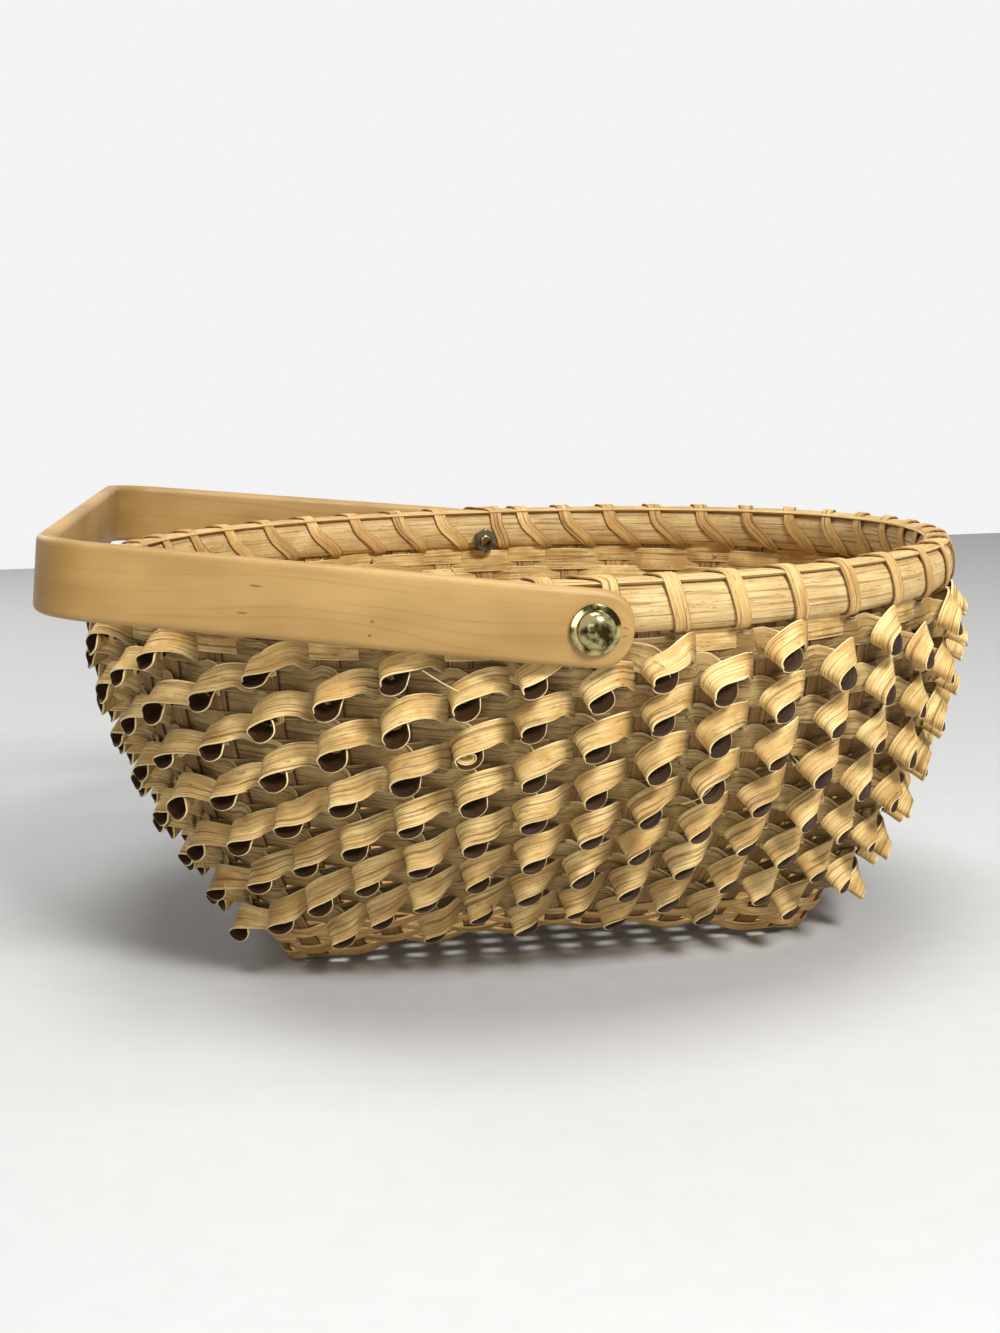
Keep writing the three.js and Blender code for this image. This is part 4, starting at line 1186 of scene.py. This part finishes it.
def build_pivot(side, name):
    hoop_inside = RIM_HALF_WIDTH - STAKE_INSET - HOOP_BACK - INNER_HOOP
    nut_inner = hoop_inside - SEAT_GAP - NUT_THICKNESS
    bolt_end = nut_inner - BOLT_PAST_NUT
    washer_inner = ARM_INNER_FACE + HANDLE_THICKNESS + SEAT_GAP
    shank = washer_inner + WASHER_THICKNESS + SEAT_GAP - bolt_end
    head_washer = washer_profile(WASHER_DIAMETER / 2, WASHER_THICKNESS)
    spacer = washer_profile(SPACER_DIAMETER / 2, ARM_TO_RIM - 2 * SEAT_GAP)
    pieces = [("dome_bolt", "pivot_bolt", bolt_profile(shank), bolt_end, "plated_steel", None),
              ("head_washer", "pivot_washer", head_washer, washer_inner, "plated_steel", None),
              ("arm_spacer", "spacer_washer", spacer, RIM_HALF_WIDTH + SEAT_GAP, "plated_steel", None),
              ("hex_nut", "pivot_nut", nut_profile(), nut_inner, "nut", nut_reach)]
    for piece, node, profile, start, slot, reach_of in pieces:
        turned_piece(f"{name}_{piece}", f"{name}_{node}", profile, side, start, slot, reach_of)


# Stray fibres, each from one point to another: place in stakes, share of the height and distance out
STRAY_FIBRES = [((3.5, row_share(1) - 0.01, 9.5), (4.3, row_share(2) - 0.02, 8.0)),
                ((8.2, row_share(6), 9.5), (7.7, row_share(7), 8.5)),
                ((7.0, row_share(1) + 0.01, 9.0), (7.3, row_share(2), 7.0))]
FIBRE_WIDTH = 0.34
FIBRE_THICKNESS = 0.3
FIBRE_TONE = 0.8
FIBRE_BOW = 2.2


def build_stray_fibres():
    for k, ends in enumerate(STRAY_FIBRES):
        first, last = [Place(stake, share).at(0, n, 0) for stake, share, n in ends]
        out = Place(*ends[0][:2]).out
        middle = (first + last) / 2 + out * FIBRE_BOW
        keys = [(p, out, FIBRE_WIDTH, FIBRE_TONE) for p in (first, middle, last)]
        add_strip(f"stray_fibre_{k + 1}", keys, False, FIBRE_THICKNESS, "weaver", [])


# Camera at the photograph's viewing angle, fitted to the rim, the feet and the handle
IMAGE_HEIGHT = 1333
FOCAL_PIXELS = 1784
SENSOR_HEIGHT = 36
NEAREST_SEEN = 0.01
CAMERA_DISTANCE = 720.9
AIM_HEIGHT = 60
AZIMUTH = math.radians(-7.76)
ELEVATION = math.radians(12.81)
YAW = math.radians(-0.87)
PITCH = math.radians(3.17)
ROLL = math.radians(-1.2)


def build_camera():
    back = Vector((math.sin(AZIMUTH) * math.cos(ELEVATION), -math.cos(AZIMUTH) * math.cos(ELEVATION),
                   math.sin(ELEVATION)))
    place = back * CAMERA_DISTANCE + UP * AIM_HEIGHT
    forward = -back
    right = forward.cross(UP).normalized()
    top = right.cross(forward)
    forward = forward * math.cos(YAW) + right * math.sin(YAW)
    right = forward.cross(top).normalized()
    forward = forward * math.cos(PITCH) + top * math.sin(PITCH)
    top = right.cross(forward)
    side = right * math.cos(ROLL) + top * math.sin(ROLL)
    above = top * math.cos(ROLL) - right * math.sin(ROLL)
    data = bpy.data.cameras.new("camera")
    data.sensor_fit = "VERTICAL"
    data.sensor_height = SENSOR_HEIGHT
    data.lens = SENSOR_HEIGHT * FOCAL_PIXELS / IMAGE_HEIGHT
    data.clip_start = NEAREST_SEEN
    camera = add_object("camera", data)
    turned = Matrix((side, above, -forward)).transposed().to_4x4()
    camera.matrix_world = Matrix.Translation(place * METRES + SHIFT) @ turned
    bpy.context.scene.camera = camera


# Studio, in metres. A lamp is a name, a place, what it points at, its side and its power.
FLOOR_HALF = 1.4
LAMPS = [("key", (0.45, -1.1, 1.05), (0, 0, 0.08), 0.35, 24),
         ("top", (0.1, -0.2, 2.6), (0, 0.3, 0), 1.4, 52),
         ("low", (-0.3, -1.3, 0.3), (0, 0, 0.05), 0.5, 3),
         ("rear", (-0.9, 1.0, 0.9), (0, 0, 0.08), 0.6, 7)]
FILL_COLOUR = (1, 0.99, 0.97, 1)
FILL_STRENGTH = 0.04
BACKDROP_COLOUR = (0.9, 0.9, 0.9, 1)


def build_lamps():
    for name, place, target, side, power in LAMPS:
        data = bpy.data.lights.new(name, "AREA")
        data.shape = "RECTANGLE"
        data.size = side
        data.size_y = side
        data.energy = power
        lamp = add_object(name, data)
        lamp.location = place
        lamp.rotation_euler = (Vector(target) - Vector(place)).to_track_quat("-Z", "Y").to_euler()


def build_floor():
    corners = [(FLOOR_HALF * x, FLOOR_HALF * y, 0) for x, y in ((-1, -1), (1, -1), (1, 1), (-1, 1))]
    mesh = bpy.data.meshes.new("floor")
    mesh.from_pydata(corners, [], [(0, 1, 2, 3)])
    mesh.materials.append(floor_material())
    add_object("floor", mesh)


# The world gives a weak fill. The camera, gloss and glass see the pale backdrop in its place.
def build_world():
    world = bpy.data.worlds.new("studio")
    bpy.context.scene.world = world
    world.use_nodes = True
    tree = world.node_tree
    fill = tree.nodes["Background"]
    fill.inputs["Color"].default_value = FILL_COLOUR
    fill.inputs["Strength"].default_value = FILL_STRENGTH
    backdrop = tree.nodes.new("ShaderNodeBackground")
    backdrop.inputs["Color"].default_value = BACKDROP_COLOUR
    rays = tree.nodes.new("ShaderNodeLightPath")
    shown = rays.outputs["Is Camera Ray"]
    for ray in ("Is Glossy Ray", "Is Transmission Ray"):
        either = tree.nodes.new("ShaderNodeMath")
        either.operation = "MAXIMUM"
        tree.links.new(shown, either.inputs[0])
        tree.links.new(rays.outputs[ray], either.inputs[1])
        shown = either.outputs[0]
    mixed = tree.nodes.new("ShaderNodeMixShader")
    tree.links.new(shown, mixed.inputs[0])
    tree.links.new(fill.outputs[0], mixed.inputs[1])
    tree.links.new(backdrop.outputs[0], mixed.inputs[2])
    tree.links.new(mixed.outputs[0], tree.nodes["World Output"].inputs["Surface"])


build_splints()
build_foot_weavers()
build_curl_rows()
build_plain_weavers()
build_inner_roll()
build_rim_band()
build_hoop("outer_hoop", "outer_rim_hoop", HOOP_BACK, OUTER_HOOP, 1)
build_hoop("inner_hoop", "inner_rim_hoop", -HOOP_BACK, INNER_HOOP, -1)
build_filler()
build_lashing()
build_handle()
build_pivot(-1, "near")
build_pivot(1, "far")
build_stray_fibres()
build_camera()
build_floor()
build_world()
build_lamps()
bpy.context.scene.view_settings.view_transform = "Standard"
